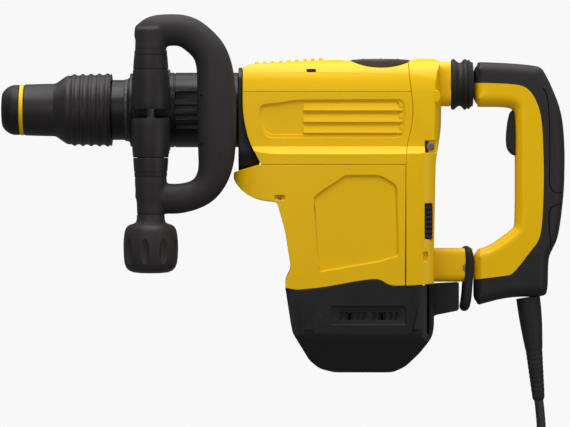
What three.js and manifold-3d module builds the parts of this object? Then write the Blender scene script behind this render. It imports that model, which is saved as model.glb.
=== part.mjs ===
// A demolition hammer: barrel and tool holder in front, motor upright below the gear housing, a D handle on a
// damped pivot at the back, and a loop side handle clamped round the barrel.
// Millimetres. Inside the tool group X runs back from the tip of the nose and Z up from the hammer's axis.
import * as THREE from "three";
import { mergeVertices } from "three/addons/utils/BufferGeometryUtils.js";
import Module from "manifold-3d";

const wasm = await Module();
wasm.setup();

// ---------------------------------------------------------------- driving dimensions
const GAP = 0.35; // between pieces that touch
const RUNNING = 0.55; // radial, between pieces that turn or slide on each other
const SIDES = 24; // facets of a round piece
const WALL = 3; // of the moulded shells

// Nose and tool holder, all on the hammer's axis
const SOCKET_R = 9.2; // for a tool shank of 18 mm
const SPINDLE_R = 20;
const SPINDLE_COLLAR_R = 27;
const SPINDLE_COLLAR_LENGTH = 50;
const CAP_R = 25;
const CAP_LENGTH = 17.5;
const RING_LENGTH = 4.2;
const SLEEVE_NOSE_LENGTH = 30.5;
const SLEEVE_CONE_LENGTH = 13;
const SLEEVE_GRIP_LENGTH = 43.5;
const SLEEVE_GRIP_R = 35;
const SLEEVE_RIBS = 5;
const SLEEVE_RIB_HEIGHT = 1.5;
const ROLLER_R = 4.6;
const ROLLER_LENGTH = 20;

// Barrel
const NECK_R = 30;
const NECK_LENGTH = 12;
const FLARE_LENGTH = 9;
const BARREL_R = 37.3;
const BARREL_LENGTH = 105.2; // from the flare to the gear housing
const FLANGE = 4; // of the gear housing, in front of the covers
const CYLINDER_BORE_R = 26;
const CYLINDER_WALL = 4;

// Side handle: a vertical column beside the barrel, with a loop behind it
const COLUMN_R = 19;
const COLUMN_OFFSET = 53.5; // from the hammer's axis
const STRAP_THICKNESS = 2;
const JAW_GAP = 5.4;
const COLLAR_HEIGHT = 14;
const LOOP_DEPTH = 29;
const LOOP_REACH = 85.5; // back from the column's axis
const LOOP_TUBE = 38;
const LOOP_TOP = 92.7;
const LOOP_BOTTOM = -104.2;
const CLAMP_BOLT_R = 4.35;
const KNOB_R = 27;
const KNOB_LENGTH = 49;

// Body, from its front face
const COVER_HALF = 48; // half the width at the gear housing
const MOTOR_HALF = 56; // half the width at the motor
const COVER_TOP = 49.5;
const UPPER_SEAM = 16.4;
const FLARE_TOP = -37.5; // the side covers flare out to the motor's width
const FLARE_BASE = -45;
const LOWER_SEAM = -55.2;
const CAP_BASE = -261.3;
const REAR_SEAM = 163; // from the front face to the rear housing
const BODY_LENGTH = 190;
const MOTOR_X = 104.5;
const CRANK_X = MOTOR_X + 0.78125 * COVER_HALF; // so the wheel keeps its room between the covers
const NECK_END = 207; // where the rear handle's bellows starts
const PIVOT_X = 223; // of the rear handle
const PIVOT_Z = -158;
const DIAL_X = 137;
const DIAL_R = 33;
const DIAL_HEIGHT = 10;

// Hammer mechanism
const CRANK_THROW = 13;
const ROD_LENGTH = 70;
const PISTON_LENGTH = 68;
const RAM_LENGTH = 42;
const GEAR_TEETH = 41;
const PINION_TEETH = 9;
const GEAR_THICKNESS = 10;

// Motor
const CORE_R = 26;
const CORE_LENGTH = 62;
const STATOR_R = 45;
const AIR_GAP = 1.2;
const SHAFT_R = 6;
const COMMUTATOR_R = 15;
const FAN_R = 40;

// Rear handle
const BELLOWS_LENGTH = 22.6;
const ARM_HALF = 19; // half the width of the handle's arms
const GRIP_HALF = 18;
const HAND_GAP_TOP = 3.2;
const HAND_GAP_BOTTOM = -138;
const TRIGGER_HALF = 8;
const PIN_R = 4;

// Cord
const CORD_R = 4.6;
const COIL_MID_R = 50;
const COIL_WIDTH = 28.4;
const COIL_HEIGHT = 37.4;
const PLUG_LENGTH = 46;

// ---------------------------------------------------------------- places worked out from them
const RING_X = CAP_LENGTH + GAP;
const SLEEVE_X = RING_X + RING_LENGTH + 0.5;
const SLEEVE_CONE_X = SLEEVE_X + SLEEVE_NOSE_LENGTH;
const SLEEVE_GRIP_X = SLEEVE_CONE_X + SLEEVE_CONE_LENGTH;
const SLEEVE_END_X = SLEEVE_GRIP_X + SLEEVE_GRIP_LENGTH;
const BARREL_X = SLEEVE_END_X + 0.5;
const FLARE_X = BARREL_X + NECK_LENGTH;
const CLAMP_SEAT_X = FLARE_X + FLARE_LENGTH;
const CLAMP_X = CLAMP_SEAT_X + COLUMN_R + 0.5;
const BODY_X = CLAMP_SEAT_X + BARREL_LENGTH + GAP + FLANGE;
const HANDLE_X = BODY_X + NECK_END;
const STUB_END = PIVOT_X + 6;
const STRAP_X = PIVOT_X - 7.5;
const ARM_START = BELLOWS_LENGTH + 1; // of the handle, from the bellows
const LOWER_ARM_START = STUB_END - NECK_END + 1.5;
const GRIP_X = HANDLE_X + 89;
const GRIP_Z = -68;
const STRAP_R = BARREL_R + RUNNING + 0.3;
const JAW_BORE_R = STRAP_R + STRAP_THICKNESS + GAP;
const SPINDLE_END_X = BARREL_X + SPINDLE_COLLAR_LENGTH + 2;
const CYLINDER_R = CYLINDER_BORE_R + CYLINDER_WALL;
const GEAR_MODULE = (CRANK_X - MOTOR_X) / ((GEAR_TEETH + PINION_TEETH) / 2);
const GEAR_R = (GEAR_MODULE * GEAR_TEETH) / 2;
const PINION_R = (GEAR_MODULE * PINION_TEETH) / 2;
const GEAR_TOP = -CYLINDER_R - 1;
const GEARBOX_END = CRANK_X + GEAR_R + GEAR_MODULE + 6;
const CYLINDER_END_X = BODY_X + CRANK_X - GEAR_R - 5;
const PIN_X = BODY_X + CRANK_X - CRANK_THROW - ROD_LENGTH; // wrist pin at the front dead centre
const PISTON_X = CYLINDER_END_X - PISTON_LENGTH - 2 * CRANK_THROW;
const RAM_X = SPINDLE_END_X + 12;

// ---------------------------------------------------------------- solids
function solid(geometry) {
  const bare = geometry.index ? geometry.toNonIndexed() : geometry.clone();
  bare.deleteAttribute("normal");
  bare.deleteAttribute("uv");
  const merged = mergeVertices(bare, 1e-3);
  const corners = [];
  const index = merged.index.array;
  for (let i = 0; i < index.length; i += 3) {
    const [a, b, c] = index.slice(i, i + 3);
    if (a !== b && b !== c && c !== a) corners.push(a, b, c);
  }
  const vertProperties = merged.attributes.position.array;
  const build = (triVerts) =>
    new wasm.Manifold(new wasm.Mesh({ numProp: 3, vertProperties, triVerts }));
  const made = build(new Uint32Array(corners));
  return made.volume() < 0 ? build(new Uint32Array(corners).reverse()) : made;
}
const join = (first, ...others) => others.reduce((whole, other) => whole.add(other), first);
const cut = (first, ...others) => others.reduce((whole, other) => whole.subtract(other), first);
const common = (first, ...others) => others.reduce((whole, other) => whole.intersect(other), first);

// A closed outline through corners [across, up, run]; run is how far from the corner its rounding starts.
function outline(corners) {
  const shape = new THREE.Shape();
  corners.forEach(([x, y, run = 0], i) => {
    const corner = new THREE.Vector2(x, y);
    const towards = (other) => {
      const way = new THREE.Vector2(other[0], other[1]).sub(corner);
      return corner.clone().add(way.setLength(Math.min(run, way.length() / 2)));
    };
    const start = towards(corners[(i + corners.length - 1) % corners.length]);
    const end = towards(corners[(i + 1) % corners.length]);
    if (i) shape.lineTo(start.x, start.y);
    else shape.moveTo(start.x, start.y);
    if (run) shape.quadraticCurveTo(x, y, end.x, end.y);
  });
  shape.closePath();
  return shape;
}
const rectangle = (x0, x1, y0, y1, run = 0) =>
  outline([
    [x0, y0, run],
    [x1, y0, run],
    [x1, y1, run],
    [x0, y1, run],
  ]);
const extruded = (shape, depth) =>
  new THREE.ExtrudeGeometry(shape, { depth, bevelEnabled: false, curveSegments: 4 });

// Prisms of an outline in XZ, YZ and XY.
const alongY = (shape, half, middle = 0) =>
  solid(extruded(shape, 2 * half).rotateX(Math.PI / 2).translate(0, middle + half, 0));
function alongX(shape, x0, x1) {
  const turn = new THREE.Matrix4().makeBasis(
    new THREE.Vector3(0, 1, 0),
    new THREE.Vector3(0, 0, 1),
    new THREE.Vector3(1, 0, 0),
  );
  return solid(extruded(shape, x1 - x0).applyMatrix4(turn).translate(x0, 0, 0));
}
const alongZ = (shape, z0, z1) => solid(extruded(shape, z1 - z0).translate(0, 0, z0));
const block = (x0, x1, y0, y1, z0, z1) =>
  solid(
    new THREE.BoxGeometry(x1 - x0, y1 - y0, z1 - z0).translate(
      (x0 + x1) / 2,
      (y0 + y1) / 2,
      (z0 + z1) / 2,
    ),
  );

// Turned pieces: the profile's points are [station, radius], closed on itself or on the axis.
function lathe(profile, sides) {
  const points = profile.map(([station, radius]) => new THREE.Vector2(radius, station));
  return new THREE.LatheGeometry(points, sides);
}
const turnedX = (profile, sides = SIDES) => solid(lathe(profile, sides).rotateZ(-Math.PI / 2));
const turnedZ = (profile, x = 0, y = 0, sides = SIDES) =>
  solid(lathe(profile, sides).rotateX(Math.PI / 2).translate(x, y, 0));
const turnedY = (profile, x, z, sides = SIDES) => solid(lathe(profile, sides).translate(x, 0, z));
const bar = (from, to, radius) => [
  [from, 0],
  [from, radius],
  [to, radius],
  [to, 0],
];
const tube = (from, to, inner, outer) => [
  [from, inner],
  [from, outer],
  [to, outer],
  [to, inner],
  [from, inner],
];

// A named mesh with its own material, placed in a group.
function piece(group, name, shape, look, place = [0, 0, 0]) {
  const made = shape.getMesh();
  const points = new Float32Array(made.numVert * 3);
  for (let i = 0; i < made.numVert; i++) {
    const start = i * made.numProp;
    points.set(made.vertProperties.subarray(start, start + 3), i * 3);
  }
  const geometry = new THREE.BufferGeometry();
  geometry.setAttribute("position", new THREE.BufferAttribute(points, 3));
  geometry.setIndex(new THREE.BufferAttribute(new Uint32Array(made.triVerts), 1));
  geometry.computeVertexNormals();
  const mesh = new THREE.Mesh(geometry, new THREE.MeshStandardMaterial(look));
  mesh.name = name;
  mesh.position.set(...place);
  group.add(mesh);
  return mesh;
}
const YELLOW = { color: 0xf2c20c, roughness: 0.42, metalness: 0 };
const BLACK = { color: 0x2b2829, roughness: 0.55, metalness: 0 };
const RUBBER = { color: 0x262425, roughness: 0.8, metalness: 0 };
const CAST = { color: 0x333132, roughness: 0.5, metalness: 0.4 };
const STEEL = { color: 0xb4b6b8, roughness: 0.3, metalness: 1 };
const DARK_STEEL = { color: 0x6d6f72, roughness: 0.4, metalness: 1 };
const COPPER = { color: 0xb87333, roughness: 0.4, metalness: 1 };
const BOARD = { color: 0x1f5a38, roughness: 0.6, metalness: 0 };

// A coil spring of round wire round an axis along X, as a plain helix.
function springX(x0, x1, middle, wire, turns) {
  const steps = turns * 10;
  const route = new THREE.CatmullRomCurve3(
    Array.from({ length: steps + 1 }, (_, i) => {
      const turn = (i / steps) * turns * 2 * Math.PI;
      const x = x0 + wire + ((x1 - x0 - 2 * wire) * i) / steps;
      return new THREE.Vector3(x, middle * Math.cos(turn), middle * Math.sin(turn));
    }),
  );
  const section = new THREE.Shape().absarc(0, 0, wire, 0, 2 * Math.PI);
  return solid(
    new THREE.ExtrudeGeometry(section, { steps, extrudePath: route, curveSegments: 3 }),
  );
}

// A gear's outline with straight-sided teeth, narrower than half the pitch for running clearance.
function gearOutline(teeth, pitchR, phase) {
  const shape = new THREE.Shape();
  const pitch = (2 * Math.PI) / teeth;
  const stations = [
    [-0.3, -1.3],
    [-0.11, 0.95],
    [0.11, 0.95],
    [0.3, -1.3],
  ];
  for (let i = 0; i < teeth; i++) {
    for (const [share, height] of stations) {
      const angle = phase + (i + share) * pitch;
      const radius = pitchR + height * GEAR_MODULE;
      const point = [radius * Math.cos(angle), radius * Math.sin(angle)];
      if (shape.curves.length || shape.currentPoint.lengthSq()) shape.lineTo(...point);
      else shape.moveTo(...point);
    }
  }
  shape.closePath();
  return shape;
}

const tool = new THREE.Group();

// ---------------------------------------------------------------- nose and tool holder
const nose = new THREE.Group();
tool.add(nose);

function noseCap() {
  const lip = 4;
  const bore = SPINDLE_R + GAP;
  return turnedX([
    [0, SOCKET_R + 0.8],
    [0, CAP_R * 0.7],
    [CAP_LENGTH * 0.62, CAP_R],
    [CAP_LENGTH, CAP_R],
    [CAP_LENGTH, bore],
    [lip, bore],
    [lip, SOCKET_R + 0.8],
    [0, SOCKET_R + 0.8],
  ]);
}
function toolHolder() {
  const chamber = SPINDLE_COLLAR_R - 10.5;
  const collar = BARREL_X + 4;
  const window = (side) =>
    block(
      ROLLER_X - 0.6,
      ROLLER_X + ROLLER_LENGTH + 0.6,
      -ROLLER_R - 0.5,
      ROLLER_R + 0.5,
      side > 0 ? 0 : -SPINDLE_R - 1,
      side > 0 ? SPINDLE_R + 1 : 0,
    );
  const body = turnedX([
    [4 + GAP, SOCKET_R],
    [4 + GAP, SPINDLE_R],
    [collar, SPINDLE_R],
    [collar, SPINDLE_COLLAR_R],
    [SPINDLE_END_X, SPINDLE_COLLAR_R],
    [SPINDLE_END_X, chamber],
    [collar, chamber],
    [collar, SOCKET_R],
    [4 + GAP, SOCKET_R],
  ]);
  return cut(body, window(1), window(-1));
}
const ROLLER_X = SLEEVE_X + 16;
const roller = () => turnedX(bar(0, ROLLER_LENGTH, ROLLER_R), 12);
function lockingSleeve() {
  const inner = SPINDLE_R + 2;
  const wide = NECK_R + RUNNING + 0.4;
  const stop = SLEEVE_GRIP_X + 6;
  const front = CAP_R + 0.5;
  const pitch = SLEEVE_GRIP_LENGTH / (SLEEVE_RIBS + 0.25);
  const ribs = Array.from({ length: SLEEVE_RIBS }, (_, i) => {
    const middle = SLEEVE_GRIP_X + pitch * (i + 0.6);
    const low = SLEEVE_GRIP_R;
    const high = SLEEVE_GRIP_R + SLEEVE_RIB_HEIGHT;
    return [
      [middle - 2.4, low],
      [middle - 1, high],
      [middle + 1, high],
      [middle + 2.4, low],
    ];
  }).flat();
  return turnedX([
    [SLEEVE_X, inner],
    [SLEEVE_X, front],
    [SLEEVE_CONE_X, front + 0.8],
    [SLEEVE_GRIP_X, SLEEVE_GRIP_R - 0.4],
    ...ribs,
    [SLEEVE_END_X, SLEEVE_GRIP_R],
    [SLEEVE_END_X, wide],
    [stop, wide],
    [stop, inner],
    [SLEEVE_X, inner],
  ]);
}
piece(nose, "nose_cap", noseCap(), RUBBER);
piece(nose, "nose_ring", turnedX(tube(0, RING_LENGTH, SPINDLE_R + GAP, CAP_R + 0.2)), YELLOW, [
  RING_X,
  0,
  0,
]);
piece(nose, "tool_holder", toolHolder(), DARK_STEEL);
piece(nose, "lock_roller_upper", roller(), STEEL, [ROLLER_X, 0, SOCKET_R + ROLLER_R + 0.8]);
piece(nose, "lock_roller_lower", roller(), STEEL, [ROLLER_X, 0, -SOCKET_R - ROLLER_R - 0.8]);
piece(nose, "locking_sleeve", lockingSleeve(), BLACK);
piece(
  nose,
  "sleeve_spring",
  springX(SLEEVE_GRIP_X + 6 + GAP, BARREL_X - GAP, SPINDLE_R + 4.4, 1.6, 5),
  STEEL,
);

// ---------------------------------------------------------------- barrel
const barrel = new THREE.Group();
barrel.position.x = BARREL_X;
tool.add(barrel);

function barrelHousing() {
  const flare = FLARE_X - BARREL_X;
  const seat = CLAMP_SEAT_X - BARREL_X;
  const end = seat + BARREL_LENGTH;
  const spindle = SPINDLE_COLLAR_R + RUNNING;
  const step = SPINDLE_END_X + 3 - BARREL_X;
  const bore = CYLINDER_R + GAP;
  const body = turnedX([
    [0, SPINDLE_R + 2],
    [0, NECK_R],
    [flare + 1, NECK_R],
    [flare + 1, NECK_R - 1.4],
    [flare + 4, NECK_R - 1.4],
    [flare + 4, NECK_R + 2],
    [flare + 6, NECK_R + 3],
    [flare + 6, BARREL_R - 0.8],
    [seat, BARREL_R],
    [end, BARREL_R],
    [end, bore],
    [step, bore],
    [step, spindle],
    [3.6, spindle],
    [3.6, SPINDLE_R + 2],
    [0, SPINDLE_R + 2],
  ]);
  const pocket = (side) =>
    block(seat + 42, seat + 64, side > 0 ? 33 : -40, side > 0 ? 40 : -33, -24, 18);
  const rib = (z, side) =>
    block(seat + 41, seat + 65, side > 0 ? 30 : -35.4, side > 0 ? 35.4 : -30, z - 1.5, z + 1.5);
  const open = cut(body, pocket(1), pocket(-1));
  return join(open, ...[-13, -4, 6].flatMap((z) => [rib(z, 1), rib(z, -1)]));
}
function snapRing() {
  const start = FLARE_X - BARREL_X + 1 + GAP;
  const ring = turnedX(tube(start, start + 2.3, NECK_R - 1, NECK_R + 1.3));
  return cut(ring, block(start - 1, start + 4, -4, 4, NECK_R - 5, NECK_R + 5));
}
piece(barrel, "barrel_housing", barrelHousing(), CAST);
piece(barrel, "snap_ring", snapRing(), STEEL);

// ---------------------------------------------------------------- side handle
const sideHandle = new THREE.Group();
sideHandle.position.set(CLAMP_X, 0, 0);
tool.add(sideHandle);
const column = new THREE.Group();
column.position.y = -COLUMN_OFFSET;
sideHandle.add(column);

const JAW_MIDDLE = -6;
const JAW_TOP = JAW_MIDDLE + JAW_GAP / 2 + 40;
const JAW_BOTTOM = JAW_MIDDLE - JAW_GAP / 2 - 38.3;
const boltHole = (z0, z1) => turnedZ(bar(z0, z1, CLAMP_BOLT_R + RUNNING), 0, 0, 16);
function jaw(from, to) {
  const barrelHole = turnedX(bar(-COLUMN_R - 1, COLUMN_R + 1, JAW_BORE_R))
    .translate(0, COLUMN_OFFSET, 0);
  const shell = turnedX(bar(-COLUMN_R, COLUMN_R, JAW_BORE_R + 7)).translate(0, COLUMN_OFFSET, 0);
  const near = block(-COLUMN_R, COLUMN_R, 0, COLUMN_OFFSET - 14, from, to);
  const post = turnedZ(
    [
      [from, 0],
      [from, COLUMN_R],
      [to, COLUMN_R],
      [to, 0],
    ],
  );
  const body = join(post, common(shell, near));
  return cut(body, barrelHole, boltHole(from - 1, to + 1));
}
function clampStrap() {
  const ring = turnedX(tube(-COLUMN_R + 2, COLUMN_R - 2, STRAP_R, STRAP_R + STRAP_THICKNESS));
  const split = JAW_GAP / 2;
  return cut(
    ring,
    block(-COLUMN_R, COLUMN_R, -STRAP_R - 9, 0, JAW_MIDDLE - split, JAW_MIDDLE + split),
  );
}
// A toothed collar: wide where it meets the jaw at from, narrow where it meets the loop at to.
function detentCollar(from, to) {
  const collar = turnedZ([
    [from, 0],
    [from, COLUMN_R - 0.6],
    [(from + to) / 2, COLUMN_R - 1.8],
    [to, COLUMN_R - 3],
    [to, 0],
  ]);
  return cut(collar, boltHole(Math.min(from, to) - 1, Math.max(from, to) + 1));
}
const LOOP_SEAT_TOP = JAW_TOP + COLLAR_HEIGHT + 2 * GAP;
const LOOP_SEAT_BOTTOM = JAW_BOTTOM - COLLAR_HEIGHT - 2 * GAP;
function loopGrip() {
  const inside = LOOP_REACH - LOOP_TUBE;
  const neck = COLUMN_R - 3.5;
  const left = outline([
    [-neck, LOOP_SEAT_TOP],
    [-neck - 0.2, LOOP_SEAT_TOP + 9, 4],
    [-neck - 5, LOOP_SEAT_TOP + 20, 5],
    [-neck + 2, LOOP_TOP - 1, 14],
    [LOOP_REACH - 33, LOOP_TOP, 20],
    [LOOP_REACH - 5, LOOP_TOP - 30, 26],
    [LOOP_REACH, -5, 50],
    [LOOP_REACH - 7, -75, 30],
    [LOOP_REACH - 36, LOOP_BOTTOM, 22],
    [14, LOOP_BOTTOM, 6],
    [14, LOOP_BOTTOM - 8, 2],
    [-14, LOOP_BOTTOM - 8, 2],
    [-neck + 2, LOOP_BOTTOM + 13, 4],
    [-neck - 2, LOOP_SEAT_BOTTOM - 16, 6],
    [-neck + 1, LOOP_SEAT_BOTTOM - 8, 4],
    [-neck, LOOP_SEAT_BOTTOM],
    [neck + 2, LOOP_SEAT_BOTTOM, 3],
    [neck + 6, LOOP_SEAT_BOTTOM - 7.5, 4],
    [inside - 3, LOOP_SEAT_BOTTOM - 8, 9],
    [inside, LOOP_SEAT_BOTTOM + 6, 8],
    [inside - 1, 46, 14],
    [inside - 14, LOOP_SEAT_TOP + 5, 11],
    [neck + 2, LOOP_SEAT_TOP + 6, 4],
    [neck, LOOP_SEAT_TOP],
  ]);
  const far = LOOP_REACH + 5;
  const round = LOOP_DEPTH / 2;
  const depth = alongZ(
    outline([
      [-COLUMN_R - 2, -round, 15],
      [far, -round],
      [far, round],
      [-COLUMN_R - 2, round, 15],
    ]),
    LOOP_BOTTOM - 20,
    LOOP_TOP + 10,
  );
  return cut(common(alongY(left, round), depth), boltHole(LOOP_BOTTOM - 20, LOOP_SEAT_TOP + 14));
}
const KNOB_TOP = LOOP_BOTTOM - 8.5 - GAP;
function clampKnob() {
  const knob = turnedZ([
    [KNOB_TOP - KNOB_LENGTH, 0],
    [KNOB_TOP - KNOB_LENGTH, KNOB_R * 0.6],
    [KNOB_TOP - KNOB_LENGTH + 6, KNOB_R * 0.88],
    [KNOB_TOP - KNOB_LENGTH * 0.6, KNOB_R],
    [KNOB_TOP - 10, KNOB_R * 0.96],
    [KNOB_TOP - 3, KNOB_R * 0.72],
    [KNOB_TOP, KNOB_R * 0.66],
    [KNOB_TOP, 0],
  ]);
  const flutes = Array.from({ length: 9 }, (_, i) => {
    const angle = ((i + 0.5) / 9) * 2 * Math.PI;
    const reach = KNOB_R + 3.2;
    const [x, y] = [reach * Math.cos(angle), reach * Math.sin(angle)];
    return turnedZ(bar(KNOB_TOP - KNOB_LENGTH * 0.86, KNOB_TOP - 12, 5), x, y, 8);
  });
  return cut(knob, ...flutes, turnedZ(bar(KNOB_TOP - 16, KNOB_TOP + 1, CLAMP_BOLT_R + GAP), 0, 0, 16));
}
piece(column, "clamp_jaw_upper", jaw(JAW_MIDDLE + JAW_GAP / 2, JAW_TOP), BLACK);
piece(column, "clamp_jaw_lower", jaw(JAW_BOTTOM, JAW_MIDDLE - JAW_GAP / 2), BLACK);
piece(sideHandle, "clamp_strap", clampStrap(), STEEL);
piece(column, "detent_collar_upper", detentCollar(JAW_TOP + GAP, JAW_TOP + GAP + COLLAR_HEIGHT), BLACK);
piece(
  column,
  "detent_collar_lower",
  detentCollar(JAW_BOTTOM - GAP, JAW_BOTTOM - GAP - COLLAR_HEIGHT),
  BLACK,
);
piece(column, "loop_grip", loopGrip(), RUBBER);
piece(column, "clamp_knob", clampKnob(), RUBBER);
piece(
  column,
  "clamp_bolt",
  turnedZ(bar(KNOB_TOP - 15.6, LOOP_SEAT_TOP + 12, CLAMP_BOLT_R), 0, 0, 16),
  STEEL,
);

// ---------------------------------------------------------------- body
const body = new THREE.Group();
body.position.x = BODY_X;
tool.add(body);

// The covers' section across the tool, rounded along the top.
const coverSection = (inset) =>
  outline([
    [-MOTOR_HALF + inset, LOWER_SEAM - 5],
    [-MOTOR_HALF + inset, FLARE_BASE],
    [-COVER_HALF + inset, FLARE_TOP],
    [-COVER_HALF + inset, COVER_TOP - inset - 8, 26],
    [-18, COVER_TOP - inset + 1, 14],
    [18, COVER_TOP - inset + 1, 14],
    [COVER_HALF - inset, COVER_TOP - inset - 8, 26],
    [COVER_HALF - inset, FLARE_TOP],
    [MOTOR_HALF - inset, FLARE_BASE],
    [MOTOR_HALF - inset, LOWER_SEAM - 5],
  ]);
// The covers' outline from the side; the front edge sweeps back towards the bottom.
const coverSide = outline([
  [0.3, LOWER_SEAM + 50, 10],
  [0.3, 41.2],
  [8, 44.6, 4],
  [84, 49.2],
  [97, 49.8, 3],
  [103, 48],
  [REAR_SEAM + 1, 48],
  [REAR_SEAM + 1, 36.5, 6],
  [REAR_SEAM + 6, -6, 14],
  [REAR_SEAM - 1.5, -40, 8],
  [REAR_SEAM - 2, LOWER_SEAM],
  [18.5, LOWER_SEAM],
  [6, -31.8, 10],
]);
const dialWell = (extra) =>
  turnedZ(bar(COVER_TOP - DIAL_HEIGHT - extra, COVER_TOP + 9, DIAL_R + extra), DIAL_X);
function coverShell() {
  const outer = common(
    alongY(coverSide, MOTOR_HALF + 1),
    alongX(coverSection(0), -5, 200),
    alongZ(motorPlan(0, 260), -60, 60),
  );
  const inner = alongX(coverSection(WALL), -6, 201);
  return cut(outer, common(inner, block(-6, 201, -90, 90, -90, COVER_TOP - DIAL_HEIGHT - 5)));
}
const seamCut = (z) => block(-10, 210, -80, 80, z, z + 90);
function topCover() {
  const shell = common(coverShell(), seamCut(UPPER_SEAM + GAP / 2));
  const ridges = Array.from({ length: 9 }, (_, i) => {
    const x = 12 + i * 8;
    return block(x, x + 3.5, -14, 14, 40, 47.3 + i * 0.5);
  });
  const well = dialWell(0.8);
  const spindle = turnedZ(bar(30, 60, 6.6), DIAL_X);
  return cut(join(shell, ...ridges.map((ridge) => common(ridge, seamCut(42)))), well, spindle);
}
function sideCover(side) {
  const half = side > 0 ? block(-10, 210, 0, 80, -90, 90) : block(-10, 210, -80, 0, -90, 90);
  const shell = cut(common(coverShell(), half), seamCut(UPPER_SEAM - GAP / 2));
  const face = side * COVER_HALF;
  const panel = outline([
    [16, 2, 6],
    [52, 8.5, 8],
    [159, 9, 6],
    [161, -10, 6],
    [157, -29, 6],
    [22, -29, 8],
  ]);
  const recess = alongY(panel, 1.2, face);
  const ribs = [1.2, -9.8, -21.2].map((z) =>
    block(60, 158, Math.min(face, face - side * 1.3), Math.max(face, face - side * 1.3), z, z + 3.5),
  );
  return join(cut(shell, recess), ...ribs.map((rib) => common(rib, half)));
}
function gearboxHousing() {
  const flange = alongY(
    outline([
      [-FLANGE, -60.9],
      [-FLANGE, 41],
      [-0.4, 41],
      [-0.4, 0, 20],
      [4, -32, 20],
      [17, LOWER_SEAM + 0.4],
    ]),
    COVER_HALF,
  );
  const front = common(
    flange,
    alongX(rectangle(-COVER_HALF + 1, COVER_HALF - 1, -60.9, 41, 20), -6, 30),
  );
  const inner = COVER_HALF - WALL - 3;
  const box = common(
    block(-1, GEARBOX_END, -inner, inner, LOWER_SEAM + 3, 33.5),
    alongX(coverSection(WALL + 2), -6, 201),
  );
  const room = block(24, GEARBOX_END - 3.5, -inner + 4, inner - 4, LOWER_SEAM + 12, 40);
  const tubeHole = turnedX(bar(-10, 30, CYLINDER_R + GAP));
  const crankHole = turnedZ(bar(LOWER_SEAM, 0, 16 + GAP), CRANK_X);
  const motorHole = turnedZ(bar(LOWER_SEAM, 0, 14 + GAP), MOTOR_X);
  return cut(join(front, box), room, tubeHole, crankHole, motorHole);
}
function speedDial() {
  const top = COVER_TOP + 0.7;
  const low = COVER_TOP - DIAL_HEIGHT;
  return turnedZ(
    [
      [low - 6, 0],
      [low - 6, 6],
      [low, 6],
      [low, DIAL_R * 0.72],
      [low + 4, DIAL_R - 2],
      [top - 3, DIAL_R],
      [top, DIAL_R * 0.6],
      [top, 0],
    ],
    DIAL_X,
  );
}
// Plan of the motor housing and end cap.
const motorPlan = (inset, rear) =>
  outline([
    [-12 + inset, -42 + inset, 16],
    [16 + inset, -MOTOR_HALF + inset, 22],
    [rear - inset, -MOTOR_HALF + inset, 20],
    [rear - inset, MOTOR_HALF - inset, 20],
    [16 + inset, MOTOR_HALF - inset, 22],
    [-12 + inset, 42 - inset, 16],
  ]);
const motorSide = [
  [16, LOWER_SEAM - GAP],
  [-8.6, -62.6, 2],
  [-9, -70, 5],
  [-1, -81, 7],
  [11, -88.5, 7],
  [22, -91, 6],
  [34, -92, 4],
  [42, -120, 8],
  [48, -159, 6],
  [42, -169, 5],
  [42.5, -176.7],
];
const boundary = [
  [53, -178.7, 3],
  [78, -176.5, 10],
  [114, -169.7, 10],
  [134, -167.5, 6],
  [145, -174.5, 5],
];
function motorHousing() {
  const edge = [...boundary, [REAR_SEAM - 3, -174.5], [REAR_SEAM - 2.4, LOWER_SEAM - GAP]];
  const outer = alongY(outline([...motorSide, ...edge]), MOTOR_HALF + 1);
  const shell = common(outer, alongZ(motorPlan(0, 260), -200, -40));
  const room = outline([
    [26, LOWER_SEAM - 8],
    [26, -86],
    [38, -95],
    [47, -122],
    [53, -160],
    [53, -190],
    [200, -190],
    [200, LOWER_SEAM - 8],
  ]);
  const passage = block(30, 200, -COVER_HALF + 9, COVER_HALF - 9, -80, -50);
  const panel = outline([
    [102, -66, 6],
    [136, -66, 6],
    [152, -76, 5],
    [154, -145, 6],
    [136, -150, 8],
    [75, -160, 8],
    [69.5, -87, 10],
  ]);
  const panels = [-MOTOR_HALF, MOTOR_HALF].map((face) => alongY(panel, 1, face));
  return cut(shell, alongY(room, MOTOR_HALF - WALL), passage, ...panels);
}
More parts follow.
